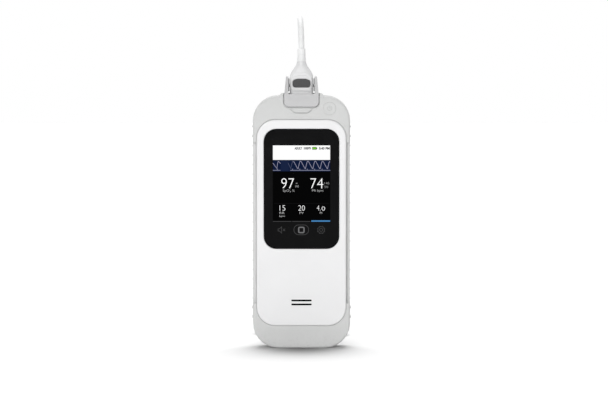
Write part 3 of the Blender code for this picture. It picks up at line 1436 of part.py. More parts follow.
def make_finger_pads():
    back = CHANNEL_END - GAP
    outer = CHANNEL_RADIUS - GAP
    inner = outer - FINGER_PAD_THICK
    front = SENSOR_LEFT + SENSOR_NOSE / 4
    wide = SENSOR_BACK - OVERRUN - outer, SENSOR_BACK + OVERRUN + outer
    levels = {
        "lower": (SENSOR_SPLIT - outer - OVERRUN, LOWER_TOP),
        "upper": (UPPER_LOW, SENSOR_SPLIT + outer + OVERRUN),
    }
    pivots = {"lower": None, "upper": (HINGE_SIDE, SENSOR_BACK, SENSOR_SPLIT)}
    windows = {"lower": "detector_window", "upper": "emitter_window"}
    for name, (low, high) in levels.items():
        half = block(f"{name} half", front - OVERRUN, back + OVERRUN, *wide, low, high)
        circle = round_outline(SENSOR_BACK, SENSOR_SPLIT, outer, ROUND_SIDES)
        bore = round_outline(SENSOR_BACK, SENSOR_SPLIT, inner, ROUND_SIDES)
        pad = ring(f"{name} pad", circle, bore, front, back, "YZ")
        keep(pad, half)
        eye = disc(f"{name} eye", EYE_SIDE, SENSOR_BACK, EYE_RADIUS + GAP, low, high, "XY")
        cut(pad, eye)
        piece(pad, f"{name}_finger_pad", "silicone_grey", pivots[name])
        edge = SENSOR_SPLIT - outer if name == "lower" else SENSOR_SPLIT + outer
        inward = 1 if name == "lower" else -1
        bottom, top = sorted((
            edge + inward * GAP, edge + inward * (FINGER_PAD_THICK - GAP / 2),
        ))
        lens = disc(f"{name} lens", EYE_SIDE, SENSOR_BACK, EYE_RADIUS, bottom, top, "XY")
        piece(lens, windows[name], "lens_clear", pivots[name])


def make_sensor_hinge():
    half = EAR_OUTSIDE - GAP
    pin = sensor_disc("pin", HINGE_SIDE, SENSOR_SPLIT, PIN_RADIUS, -half, half, 16)
    piece(pin, "sensor_hinge_pin", "steel")
    points = []
    count = SPRING_TURNS * SPRING_POINTS
    for index in range(count + 1):
        turn = index / SPRING_POINTS
        angle = math.tau * turn
        points.append((
            HINGE_SIDE + SPRING_RADIUS * math.cos(angle),
            SENSOR_BACK + SPRING_PITCH * (turn - SPRING_TURNS / 2),
            SENSOR_SPLIT + SPRING_RADIUS * math.sin(angle),
        ))
    piece(tube("spring", points, SPRING_WIRE, 1), "sensor_spring", "steel")


def make_sensor_relief():
    length = SENSOR_RELIEF_LENGTH
    tip, foot = SENSOR_RELIEF_TIP, SENSOR_RELIEF_FOOT
    profile = (
        (0, length), (tip - RELIEF_EDGE, length), (tip, length - RELIEF_EDGE),
        (foot, RELIEF_EDGE), (foot, 0), (0, 0),
    )
    place = (SENSOR_RIGHT + GAP, SENSOR_BACK, SENSOR_RELIEF_LEVEL)
    turn = Matrix.Rotation(math.radians(90), 4, "Y")
    piece(turned("sensor relief", profile, place, turn), "sensor_strain_relief", "cord_white")


def main():
    make_boot()
    make_front_housing()
    make_rear_housing()
    make_seal()
    make_screws()
    make_glass()
    make_display()
    make_boards()
    make_battery()
    make_speaker()
    make_switch()
    make_power_key()
    make_socket()
    make_bail()
    make_plug()
    make_strain_relief()
    make_lead()
    make_coil()
    make_tail()
    make_lower_shell()
    make_upper_shell()
    make_finger_pads()
    make_sensor_hinge()
    make_sensor_relief()


main()
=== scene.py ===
"""The looks of the handheld pulse oximeter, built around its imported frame. Metres, +Z up."""
import json
import math

import bpy
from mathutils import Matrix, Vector


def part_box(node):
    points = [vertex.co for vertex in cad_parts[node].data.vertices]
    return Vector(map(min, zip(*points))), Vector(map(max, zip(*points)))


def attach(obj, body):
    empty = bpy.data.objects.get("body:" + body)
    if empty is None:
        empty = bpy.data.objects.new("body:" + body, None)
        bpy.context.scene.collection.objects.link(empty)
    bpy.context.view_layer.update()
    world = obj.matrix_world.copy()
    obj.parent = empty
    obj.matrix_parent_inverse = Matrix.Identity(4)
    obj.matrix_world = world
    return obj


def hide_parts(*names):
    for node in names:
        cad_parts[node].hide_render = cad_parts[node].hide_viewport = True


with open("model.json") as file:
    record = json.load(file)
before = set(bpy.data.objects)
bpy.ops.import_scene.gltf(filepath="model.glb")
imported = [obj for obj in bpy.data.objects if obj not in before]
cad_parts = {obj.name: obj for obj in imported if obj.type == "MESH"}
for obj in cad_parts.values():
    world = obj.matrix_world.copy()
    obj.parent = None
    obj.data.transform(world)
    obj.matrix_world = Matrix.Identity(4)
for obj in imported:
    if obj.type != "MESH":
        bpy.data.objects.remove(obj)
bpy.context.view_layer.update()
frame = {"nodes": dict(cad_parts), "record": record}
scene = bpy.context.scene
nodes = frame["nodes"]
MM = 0.001

# The camera looks straight at the front from a little above, at the photograph's scale.
# AXIS_X is the photograph's pixel column at the middle of the base. FLOOR_Y is the pixel row
# of the floor, fitted so that what is drawn on the glass lines up with the photograph.
PIXEL = 0.752 * MM
IMAGE_WIDTH = 608
AXIS_X = 301.45
FLOOR_Y = 348.55
LOOK_AT = Vector((1.9 * MM, -9.0 * MM, 106.1 * MM))
CAMERA_FAR = 2.6
CAMERA_RISE = 3.0
SENSOR_WIDTH = 36.0
CLIP_END = 20.0


def place_x(pixel):
    return (pixel - AXIS_X) * PIXEL


def place_z(pixel):
    return (FLOOR_Y - pixel) * PIXEL


def add_camera():
    data = bpy.data.cameras.new("camera")
    data.sensor_width = SENSOR_WIDTH
    data.lens = SENSOR_WIDTH * CAMERA_FAR / (IMAGE_WIDTH * PIXEL)
    data.clip_end = CLIP_END
    camera = bpy.data.objects.new("camera", data)
    scene.collection.objects.link(camera)
    rise = math.radians(CAMERA_RISE)
    camera.location = LOOK_AT + CAMERA_FAR * Vector((0, -math.cos(rise), math.sin(rise)))
    camera.rotation_euler = (math.radians(90) - rise, 0, 0)
    scene.camera = camera


# Materials

def graph(name):
    """A new material with its node tree, its main shader and the object's own coordinates."""
    look = bpy.data.materials.new(name)
    look.use_nodes = True
    tree = look.node_tree
    shader = tree.nodes["Principled BSDF"]
    coords = tree.nodes.new("ShaderNodeTexCoord")
    return look, tree, shader, coords.outputs["Object"]


def stretched(tree, coords, scale):
    mapping = tree.nodes.new("ShaderNodeMapping")
    mapping.inputs["Scale"].default_value = scale
    tree.links.new(coords, mapping.inputs["Vector"])
    return mapping.outputs["Vector"]


def noise(tree, coords, scale, detail=3.0, rough=0.55):
    node = tree.nodes.new("ShaderNodeTexNoise")
    node.inputs["Scale"].default_value = scale
    node.inputs["Detail"].default_value = detail
    node.inputs["Roughness"].default_value = rough
    tree.links.new(coords, node.inputs["Vector"])
    return node.outputs["Fac"]


def ranged(tree, value, low, high, start=0.3, end=0.7):
    node = tree.nodes.new("ShaderNodeMapRange")
    for socket, number in (
        ("From Min", start), ("From Max", end), ("To Min", low), ("To Max", high),
    ):
        node.inputs[socket].default_value = number
    tree.links.new(value, node.inputs["Value"])
    return node.outputs["Result"]


def mixed(tree, factor, one, two):
    """The first colour where the factor is 0 and the second where it is 1."""
    node = tree.nodes.new("ShaderNodeMix")
    node.data_type = "RGBA"
    for index, colour in ((6, one), (7, two)):
        if isinstance(colour, tuple):
            node.inputs[index].default_value = (*colour, 1)
        else:
            tree.links.new(colour, node.inputs[index])
    if isinstance(factor, float):
        node.inputs[0].default_value = factor
    else:
        tree.links.new(factor, node.inputs[0])
    return node.outputs[2]


def bump(tree, shader, height, depth, below=None):
    node = tree.nodes.new("ShaderNodeBump")
    node.inputs["Strength"].default_value = 1.0
    node.inputs["Distance"].default_value = depth
    tree.links.new(height, node.inputs["Height"])
    if below is not None:
        tree.links.new(below, node.inputs["Normal"])
    tree.links.new(node.outputs["Normal"], shader.inputs["Normal"])
    return node.outputs["Normal"]


def shade(colour, factor):
    return tuple(min(1.0, channel * factor) for channel in colour)


def finish_of(name, colour, rough, spread=0.03, mottle=70.0, grain=2600.0, depth=0.00001,
              smudge=0.06, metal=0.0, specular=0.5, scale=(1, 1, 1), sheen=0.0):
    """A moulded or painted surface: slight mottling, smudged gloss and a fine grain."""
    look, tree, shader, coords = graph(name)
    coords = stretched(tree, coords, scale)
    patches = noise(tree, coords, mottle)
    tint = mixed(
        tree, ranged(tree, patches, 0.0, 1.0), shade(colour, 1 - spread), shade(colour, 1 + spread)
    )
    tree.links.new(tint, shader.inputs["Base Color"])
    marks = noise(tree, coords, mottle * 2.3, 5.0)
    gloss = ranged(tree, marks, max(0.02, rough - smudge), min(1.0, rough + smudge))
    tree.links.new(gloss, shader.inputs["Roughness"])
    shader.inputs["Metallic"].default_value = metal
    shader.inputs["Specular IOR Level"].default_value = specular
    shader.inputs["Sheen Weight"].default_value = sheen
    bump(tree, shader, noise(tree, coords, grain, 2.0), depth)
    return look


def lit(name, colour, strength=1.0, rough=0.12):
    """A lit part of the display's picture, with the glass's own gloss over it."""
    look, tree, shader, coords = graph(name)
    flicker = noise(tree, coords, 4200.0, 1.0)
    tint = mixed(tree, ranged(tree, flicker, 0.0, 1.0), shade(colour, 0.96), colour)
    tree.links.new(tint, shader.inputs["Emission Color"])
    shader.inputs["Emission Strength"].default_value = strength
    shader.inputs["Base Color"].default_value = (0.0006, 0.0006, 0.0006, 1)
    shader.inputs["Roughness"].default_value = rough
    shader.inputs["Specular IOR Level"].default_value = 0.01
    return look


def board_look():
    """Green solder mask with lighter copper runs under it and tinned pads."""
    look, tree, shader, coords = graph("board_green")
    runs = tree.nodes.new("ShaderNodeTexBrick")
    runs.inputs["Scale"].default_value = 260.0
    runs.inputs["Mortar Size"].default_value = 0.06
    runs.inputs["Color1"].default_value = (0.012, 0.095, 0.035, 1)
    runs.inputs["Color2"].default_value = (0.016, 0.115, 0.045, 1)
    runs.inputs["Mortar"].default_value = (0.045, 0.22, 0.09, 1)
    turned = tree.nodes.new("ShaderNodeMapping")
    turned.inputs["Rotation"].default_value = (math.radians(90), 0, 0)
    tree.links.new(coords, turned.inputs["Vector"])
    tree.links.new(turned.outputs["Vector"], runs.inputs["Vector"])
    dots = tree.nodes.new("ShaderNodeTexVoronoi")
    dots.inputs["Scale"].default_value = 420.0
    tree.links.new(coords, dots.inputs["Vector"])
    pads = ranged(tree, dots.outputs["Distance"], 1.0, 0.0, 0.14, 0.17)
    tint = mixed(tree, pads, runs.outputs["Color"], (0.62, 0.58, 0.46))
    tree.links.new(tint, shader.inputs["Base Color"])
    tree.links.new(ranged(tree, pads, 0.42, 0.24, 0.0, 1.0), shader.inputs["Roughness"])
    bump(tree, shader, pads, 0.00003)
    return look


def mesh_look():
    """A black speaker screen: fine round holes in a woven sheet."""
    look, tree, shader, coords = graph("speaker_screen")
    holes = tree.nodes.new("ShaderNodeTexVoronoi")
    holes.inputs["Scale"].default_value = 1500.0
    holes.inputs["Randomness"].default_value = 0.15
    tree.links.new(coords, holes.inputs["Vector"])
    ring = ranged(tree, holes.outputs["Distance"], 0.0, 1.0, 0.28, 0.4)
    # Painted glints: random lighter specks in the wire's colour.
    painted_glints = ranged(tree, noise(tree, coords, 900.0, 2.0), 0.0, 1.0, 0.62, 0.74)
    wire = mixed(tree, painted_glints, (0.002, 0.002, 0.002), (0.05, 0.05, 0.05))
    tint = mixed(tree, ring, (0.0015, 0.0015, 0.0015), wire)
    tree.links.new(tint, shader.inputs["Base Color"])
    shader.inputs["Roughness"].default_value = 0.8
    shader.inputs["Specular IOR Level"].default_value = 0.1
    bump(tree, shader, ring, 0.00006)
    return look


def foam_look():
    look, tree, shader, coords = graph("foam_grey")
    cells = tree.nodes.new("ShaderNodeTexVoronoi")
    cells.inputs["Scale"].default_value = 1300.0
    tree.links.new(coords, cells.inputs["Vector"])
    tint = mixed(
        tree, ranged(tree, cells.outputs["Distance"], 0.0, 1.0, 0.1, 0.7),
        (0.05, 0.05, 0.052), (0.12, 0.12, 0.125),
    )
    tree.links.new(tint, shader.inputs["Base Color"])
    shader.inputs["Roughness"].default_value = 0.95
    bump(tree, shader, cells.outputs["Distance"], 0.00018)
    return look


def boot_look():
    """Moulded silicone: a dry sheen, fine eroded grain, dust and rubbing near the base."""
    colour = (0.615, 0.62, 0.615)
    look, tree, shader, coords = graph("boot_silicone")
    patches = noise(tree, coords, 55.0)
    tint = mixed(
        tree, ranged(tree, patches, 0.0, 1.0), shade(colour, 0.975), shade(colour, 1.02)
    )
    height = tree.nodes.new("ShaderNodeSeparateXYZ")
    tree.links.new(coords, height.inputs["Vector"])
    rub = ranged(tree, height.outputs["Z"], 1.0, 0.0, 0.0, 16 * MM)
    scuffs = ranged(tree, noise(tree, coords, 420.0, 6.0, 0.7), 0.0, 1.0, 0.5, 0.72)
    worn = tree.nodes.new("ShaderNodeMath")
    worn.operation = "MULTIPLY"
    tree.links.new(rub, worn.inputs[0])
    tree.links.new(scuffs, worn.inputs[1])
    tint = mixed(tree, worn.outputs[0], tint, shade(colour, 0.86))
    lint = ranged(tree, noise(tree, coords, 1900.0, 2.0, 0.4), 0.0, 1.0, 0.72, 0.8)
    tint = mixed(tree, lint, tint, shade(colour, 1.12))
    tree.links.new(tint, shader.inputs["Base Color"])
    gloss = ranged(tree, noise(tree, coords, 140.0, 5.0), 0.56, 0.72)
    tree.links.new(gloss, shader.inputs["Roughness"])
    shader.inputs["Specular IOR Level"].default_value = 0.4
    shader.inputs["Sheen Weight"].default_value = 0.06
    shader.inputs["Sheen Roughness"].default_value = 0.45
    broad = bump(tree, shader, noise(tree, coords, 260.0, 3.0), 0.00002)
    bump(tree, shader, noise(tree, coords, 3200.0, 2.0), 0.000008, broad)
    return look


def case_look(name, colour):
    """Satin white plastic with a fine spark grain and faint handling marks."""
    look, tree, shader, coords = graph(name)
    patches = noise(tree, coords, 38.0)
    tint = mixed(
        tree, ranged(tree, patches, 0.0, 1.0), shade(colour, 0.985), shade(colour, 1.01)
    )
    tree.links.new(tint, shader.inputs["Base Color"])
    long_marks = noise(tree, stretched(tree, coords, (1, 1, 0.25)), 900.0, 4.0, 0.6)
    gloss = ranged(tree, long_marks, 0.3, 0.44)
    tree.links.new(gloss, shader.inputs["Roughness"])
    shader.inputs["Specular IOR Level"].default_value = 0.45
    shader.inputs["Coat Weight"].default_value = 0.05
    shader.inputs["Coat Roughness"].default_value = 0.25
    bump(tree, shader, noise(tree, coords, 4200.0, 2.0), 0.000006)
    return look


def glass_look():
    """Black backed cover glass: deep, even gloss with faint finger marks."""
    look, tree, shader, coords = graph("cover_black")
    marks = noise(tree, coords, 90.0, 6.0, 0.62)
    tint = mixed(
        tree, ranged(tree, marks, 0.0, 1.0), (0.0030, 0.0030, 0.0033), (0.0040, 0.0040, 0.0043)
    )
    tree.links.new(tint, shader.inputs["Base Color"])
    tree.links.new(ranged(tree, marks, 0.05, 0.16), shader.inputs["Roughness"])
    shader.inputs["Specular IOR Level"].default_value = 0.05
    bump(tree, shader, noise(tree, coords, 120.0, 1.0), 0.000002)
    return look


def cord_look():
    """Soft white jacket: a dry surface and handling grey."""
    colour = (0.83, 0.835, 0.835)
    look, tree, shader, coords = graph("cord_white")
    patches = noise(tree, coords, 160.0, 4.0)
    tint = mixed(
        tree, ranged(tree, patches, 0.0, 1.0), shade(colour, 0.95), shade(colour, 1.03)
    )
    tree.links.new(tint, shader.inputs["Base Color"])
    tree.links.new(
        ranged(tree, noise(tree, coords, 700.0, 4.0), 0.42, 0.6), shader.inputs["Roughness"]
    )
    shader.inputs["Specular IOR Level"].default_value = 0.4
    shader.inputs["Sheen Weight"].default_value = 0.04
    bump(tree, shader, noise(tree, coords, 2200.0, 3.0), 0.00001)
    return look


def lens_look():
    look, tree, shader, coords = graph("lens_clear")
    depth = noise(tree, coords, 600.0, 2.0)
    tint = mixed(
        tree, ranged(tree, depth, 0.0, 1.0), (0.10, 0.012, 0.012), (0.19, 0.03, 0.028)
    )
    tree.links.new(tint, shader.inputs["Base Color"])
    shader.inputs["Roughness"].default_value = 0.08
    shader.inputs["Coat Weight"].default_value = 0.6
    shader.inputs["Coat Roughness"].default_value = 0.03
    bump(tree, shader, depth, 0.00002)
    return look


def steel_look():
    look, tree, shader, coords = graph("tin_steel")
    drawn = noise(tree, stretched(tree, coords, (1, 1, 0.06)), 3600.0, 3.0)
    tint = mixed(
        tree, ranged(tree, drawn, 0.0, 1.0), (0.50, 0.50, 0.50), (0.66, 0.66, 0.65)
    )
    tree.links.new(tint, shader.inputs["Base Color"])
    tree.links.new(ranged(tree, drawn, 0.24, 0.4), shader.inputs["Roughness"])
    shader.inputs["Metallic"].default_value = 1.0
    bump(tree, shader, drawn, 0.000008)
    return look


looks = {
    "boot_silicone": boot_look(),
    "case_white": case_look("case_white", (0.80, 0.80, 0.805)),
    "cover_black": glass_look(),
    "cord_white": cord_look(),
    "lens_clear": lens_look(),
    "tin_steel": steel_look(),
    "board_green": board_look(),
    "foam_grey": foam_look(),
    "speaker_screen": mesh_look(),
    "seal_black": finish_of("seal_black", (0.018, 0.018, 0.019), 0.6),
    "display_dark": finish_of("display_dark", (0.010, 0.010, 0.012), 0.2, mottle=40.0),
    "flex_amber": finish_of("flex_amber", (0.55, 0.27, 0.06), 0.3, spread=0.12, mottle=300.0),
    "black_plastic": finish_of("black_plastic", (0.022, 0.022, 0.023), 0.45, spread=0.1),
    "battery_wrap": finish_of(
        "battery_wrap", (0.06, 0.10, 0.22), 0.3, spread=0.1, mottle=120.0, grain=300.0,
        depth=0.00006,
    ),
    "gold": finish_of("gold", (0.85, 0.60, 0.24), 0.22, metal=1.0, grain=4000.0),
    "bail_grey": finish_of(
        "bail_grey", (0.51, 0.51, 0.515), 0.4, spread=0.02, grain=3600.0, depth=0.000008
    ),
    "thumb_grey": finish_of(
        "thumb_grey", (0.038, 0.038, 0.04), 0.6, spread=0.08, mottle=260.0, grain=2400.0,
        depth=0.00002, sheen=0.05,
    ),
}


def dress(object_, look):
    """Puts one look on the whole piece."""
    object_.data.materials.clear()
    object_.data.materials.append(look)


for row in frame["record"]["subparts"]:
    dress(nodes[row["node"]], looks[row["material_slot"]])
dress(nodes["speaker_mesh"], looks["speaker_screen"])
# Painted shade: the plug is the case's white plastic, given a darker copy of that white.
dress(nodes["connector_plug"], case_look("plug_white_shaded", (0.72, 0.72, 0.725)))


# The sensor lead: one cord from the plug, down behind the case, through its coil to the sensor
CORD_RADIUS = 2.1 * MM
CORD_WIDE = 2 * CORD_RADIUS
RELIEF_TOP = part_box("strain_relief")[1].z
LEAD_ROUTE = (
    (-0.1, 0.3, 233.5), (-0.5, 3.8, 241.6), (-0.9, 11.6, 246.8), (-0.9, 20.6, 246.2),
    (-0.6, 27.6, 239.6), (-0.1, 30.6, 229.0), (0.2, 31.4, 214.0), (-1.6, 31.4, 182.0),
    (-7.0, 31.2, 134.0), (-13.8, 30.8, 88.0), (-19.0, 30.8, 50.0), (-20.6, 31.4, 25.0),
    (-17.4, 34.0, 9.6),
)
COIL_CENTRE = 66.0 * MM
COIL_OUTER = 27.8 * MM
COIL_TURNS = 4.25
COIL_POINTS = 40
COIL_STEP = 4.75 * MM
COIL_LEVEL = 2.3 * MM
LEAD_STEP = 2.0 * MM
TAIL_ROUTE = ((29.2, 78.0, 6.4), (32.6, 88.0, 5.2), (35.4, 97.0, 4.6), (33.6, 106.6, 4.4))
SENSOR_RELIEF_END = 20.5 * MM
SENSOR_BACK = 111.0 * MM
SENSOR_LEVEL = 4.4 * MM


def blend(at, knots, index, span):
    """The share of the way between the two knots that one step of the curve is made from."""
    low, high = (index, index + span) if span < 3 else (1, 2)
    return (at - knots[low]) / (knots[high] - knots[low])


def smooth_route(points, parts=12):
    """A centripetal Catmull-Rom curve through the points."""
    places = [Vector(point) for point in points]
    places = [2 * places[0] - places[1]] + places + [2 * places[-1] - places[-2]]
    dense = []
    for group in zip(places, places[1:], places[2:], places[3:]):
        knots = [0.0]
        for one, two in zip(group, group[1:]):
            knots.append(knots[-1] + math.sqrt((two - one).length))
        for part in range(parts):
            at = knots[1] + (knots[2] - knots[1]) * part / parts
            level = list(group)
            for span in (1, 2, 3):
                level = [
                    one.lerp(two, blend(at, knots, index, span))
                    for index, (one, two) in enumerate(zip(level, level[1:]))
                ]
            dense.append(level[0])
    dense.append(places[-2])
    return dense


def spaced(dense, step):
    """The same route with its points one step apart."""
    lengths = [0.0]
    for one, two in zip(dense, dense[1:]):
        lengths.append(lengths[-1] + (two - one).length)
    count = max(2, round(lengths[-1] / step))
    result, index = [], 0
    for number in range(count + 1):
        want = lengths[-1] * number / count
        while index < len(dense) - 2 and lengths[index + 1] < want:
            index += 1
        span = lengths[index + 1] - lengths[index]
        result.append(dense[index].lerp(dense[index + 1], (want - lengths[index]) / span))
    return result


def in_mm(route):
    return [Vector(point) * MM for point in route]


def coil_points():
    """Loops that wind in on the lower layer, climb as they reverse, and wind out on the upper."""
    half = COIL_TURNS / 2
    points = []
    for index in range(round(COIL_TURNS * COIL_POINTS) + 1):
        turn = index / COIL_POINTS
        radius = COIL_OUTER - COIL_STEP * min(turn, COIL_TURNS - turn)
        climb = min(max((turn - half) * 2 + 0.5, 0.0), 1.0)
        climb = climb * climb * (3 - 2 * climb)
        angle = math.tau * (turn - 0.25)
        points.append(Vector((
            radius * math.cos(angle), COIL_CENTRE + radius * math.sin(angle),
            COIL_LEVEL + COIL_STEP * climb,
        )))
    return points


def lead_points():
    start = Vector((0, 0, RELIEF_TOP))
    coil = coil_points()
    run = coil[0] - Vector((2 * CORD_WIDE, 0, 0))
    down = smooth_route((start + Vector((0, 0, CORD_WIDE)), *in_mm(LEAD_ROUTE), run))
    out = coil[-1] + Vector((0, CORD_WIDE, 0))
    finish = Vector((SENSOR_RELIEF_END, SENSOR_BACK, SENSOR_LEVEL))
    tail = smooth_route((out, *in_mm(TAIL_ROUTE), finish + Vector((CORD_WIDE, 0, 0))))
    whole = [start, *down, *coil, *tail, finish]
    return spaced(whole, LEAD_STEP)


def add_lead():
    points = lead_points()
    data = bpy.data.curves.new("sensor_lead", "CURVE")
    data.dimensions = "3D"
    data.bevel_depth = CORD_RADIUS
    data.bevel_resolution = 5
    data.use_fill_caps = True
    data.twist_mode = "MINIMUM"
    spline = data.splines.new("POLY")
    spline.points.add(len(points) - 1)
    spline.use_smooth = True
    for point, place in zip(spline.points, points):
        point.co = (*place, 1)
    lead = bpy.data.objects.new("sensor_lead", data)
    scene.collection.objects.link(lead)
    data.materials.append(looks["cord_white"])
    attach(lead, "body")
    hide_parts("sensor_cable", "cable_coil", "cable_tail")


# The lit picture and the key marks, laid on the front of the cover glass
GLASS_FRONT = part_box("cover_glass")[0].y
LAYER = 0.012 * MM

inks = {
    "field": lit("picture_black", (0.0003, 0.0003, 0.0004)),
    "white": lit("picture_white", (1.0, 1.0, 1.0), 1.02),
    "navy": lit("picture_navy", (0.0033, 0.0095, 0.039)),
    "navy_light": lit("picture_navy_light", (0.0085, 0.016, 0.052)),
    "wave": lit("picture_wave", (0.36, 0.35, 0.47)),
    "trace": lit("picture_wave_trace", (0.20, 0.21, 0.30)),
    "faint": lit("picture_wave_faint", (0.09, 0.10, 0.17)),
    "digit": lit("picture_digit", (1.0, 1.0, 1.0)),
    "small": lit("picture_small", (0.46, 0.46, 0.46)),
    "grey_text": lit("picture_grey_text", (0.0, 0.0, 0.0)),
    "line": lit("picture_line", (0.006, 0.006, 0.0065)),
    "segment": lit("picture_segment", (0.062, 0.062, 0.064)),
    "blue": lit("picture_blue", (0.065, 0.235, 0.50)),
    "green": lit("picture_green", (0.20, 0.56, 0.05)),
    "mark": lit("key_mark", (0.06, 0.06, 0.061), rough=0.3),
    "ring": lit("key_ring", (0.06, 0.06, 0.061), rough=0.3),
    "home": lit("home_mark", (0.17, 0.17, 0.175), rough=0.3),
}


def laid(name, data, ink, layer):
    """A flat drawing, given in pixels of the photograph, laid on the glass."""
    for vertex in data.vertices:
        across, down = vertex.co.x, vertex.co.y
        vertex.co = (place_x(across), GLASS_FRONT - layer * LAYER, place_z(down))
    data.update()
    if sum(face.normal.y * face.area for face in data.polygons) > 0:
        data.flip_normals()
    drawing = bpy.data.objects.new(name, data)
    scene.collection.objects.link(drawing)
    data.materials.clear()
    data.materials.append(inks[ink])
    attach(drawing, "body")
    return drawing


def shapes(name, outlines, ink, layer):
    data = bpy.data.meshes.new(name)
    corners, faces = [], []
    for outline in outlines:
        faces.append(tuple(range(len(corners), len(corners) + len(outline))))
        corners += [(across, down, 0) for across, down in outline]
    data.from_pydata(corners, [], faces)
    return laid(name, data, ink, layer)


def bar(left, top, right, bottom):
    return ((left, top), (right, top), (right, bottom), (left, bottom))


def strokes(name, lines, width, ink, layer, closed=False):
    """Lines of one width, mitred at their bends."""
    data = bpy.data.meshes.new(name)
    corners, faces = [], []
    for line in lines:
        places = [Vector(point) for point in line]
        count = len(places)
        first = len(corners)
        for index, place in enumerate(places):
            before = places[index - 1] if index or closed else place
            after = places[(index + 1) % count] if index + 1 < count or closed else place
            one = (place - before).normalized() if place != before else None
            two = (after - place).normalized() if place != after else None
            one, two = one or two, two or one
            along = (one + two).normalized()
            side = Vector((-along.y, along.x)) * width / 2
            side /= max(0.45, along.dot(one))
            corners += [(*(place + side), 0), (*(place - side), 0)]
        for index in range(count if closed else count - 1):
            now, then = first + 2 * index, first + 2 * ((index + 1) % count)
            faces.append((now, now + 1, then + 1, then))
    data.from_pydata(corners, [], faces)
    return laid(name, data, ink, layer)


def words(name, text, left, top, right, bottom, ink, layer=3, weight=0.0):
    """Lettering that fills a box of the photograph's pixels."""
    curve = bpy.data.curves.new(name, "FONT")
    curve.body = text
    curve.offset = weight
    curve.resolution_u = 4
    holder = bpy.data.objects.new(name + "_curve", curve)
    scene.collection.objects.link(holder)
    bpy.context.view_layer.update()
    data = bpy.data.meshes.new_from_object(holder)
    data.name = name
    bpy.data.objects.remove(holder)
    across = [vertex.co.x for vertex in data.vertices]
    up = [vertex.co.y for vertex in data.vertices]
    wide, tall = max(across) - min(across), max(up) - min(up)
    for vertex in data.vertices:
        x = left + (vertex.co.x - min(across)) / wide * (right - left)
        y = bottom - (vertex.co.y - min(up)) / tall * (bottom - top)
        vertex.co = (x, y, 0)
    return laid(name, data, ink, layer)


def arc(centre, wide, tall, start, end, steps):
    return [
        (
            centre[0] + wide * math.cos(math.radians(start + (end - start) * step / steps)),
            centre[1] + tall * math.sin(math.radians(start + (end - start) * step / steps)),
        )
        for step in range(steps + 1)
    ]


def round_box(left, top, right, bottom, radius, steps=6):
    corners = (
        (right - radius, top + radius, -90), (right - radius, bottom - radius, 0),
        (left + radius, bottom - radius, 90), (left + radius, top + radius, 180),
    )
    points = []
    for across, down, start in corners:
        points += arc((across, down), radius, radius, start, start + 90, steps)
    return points


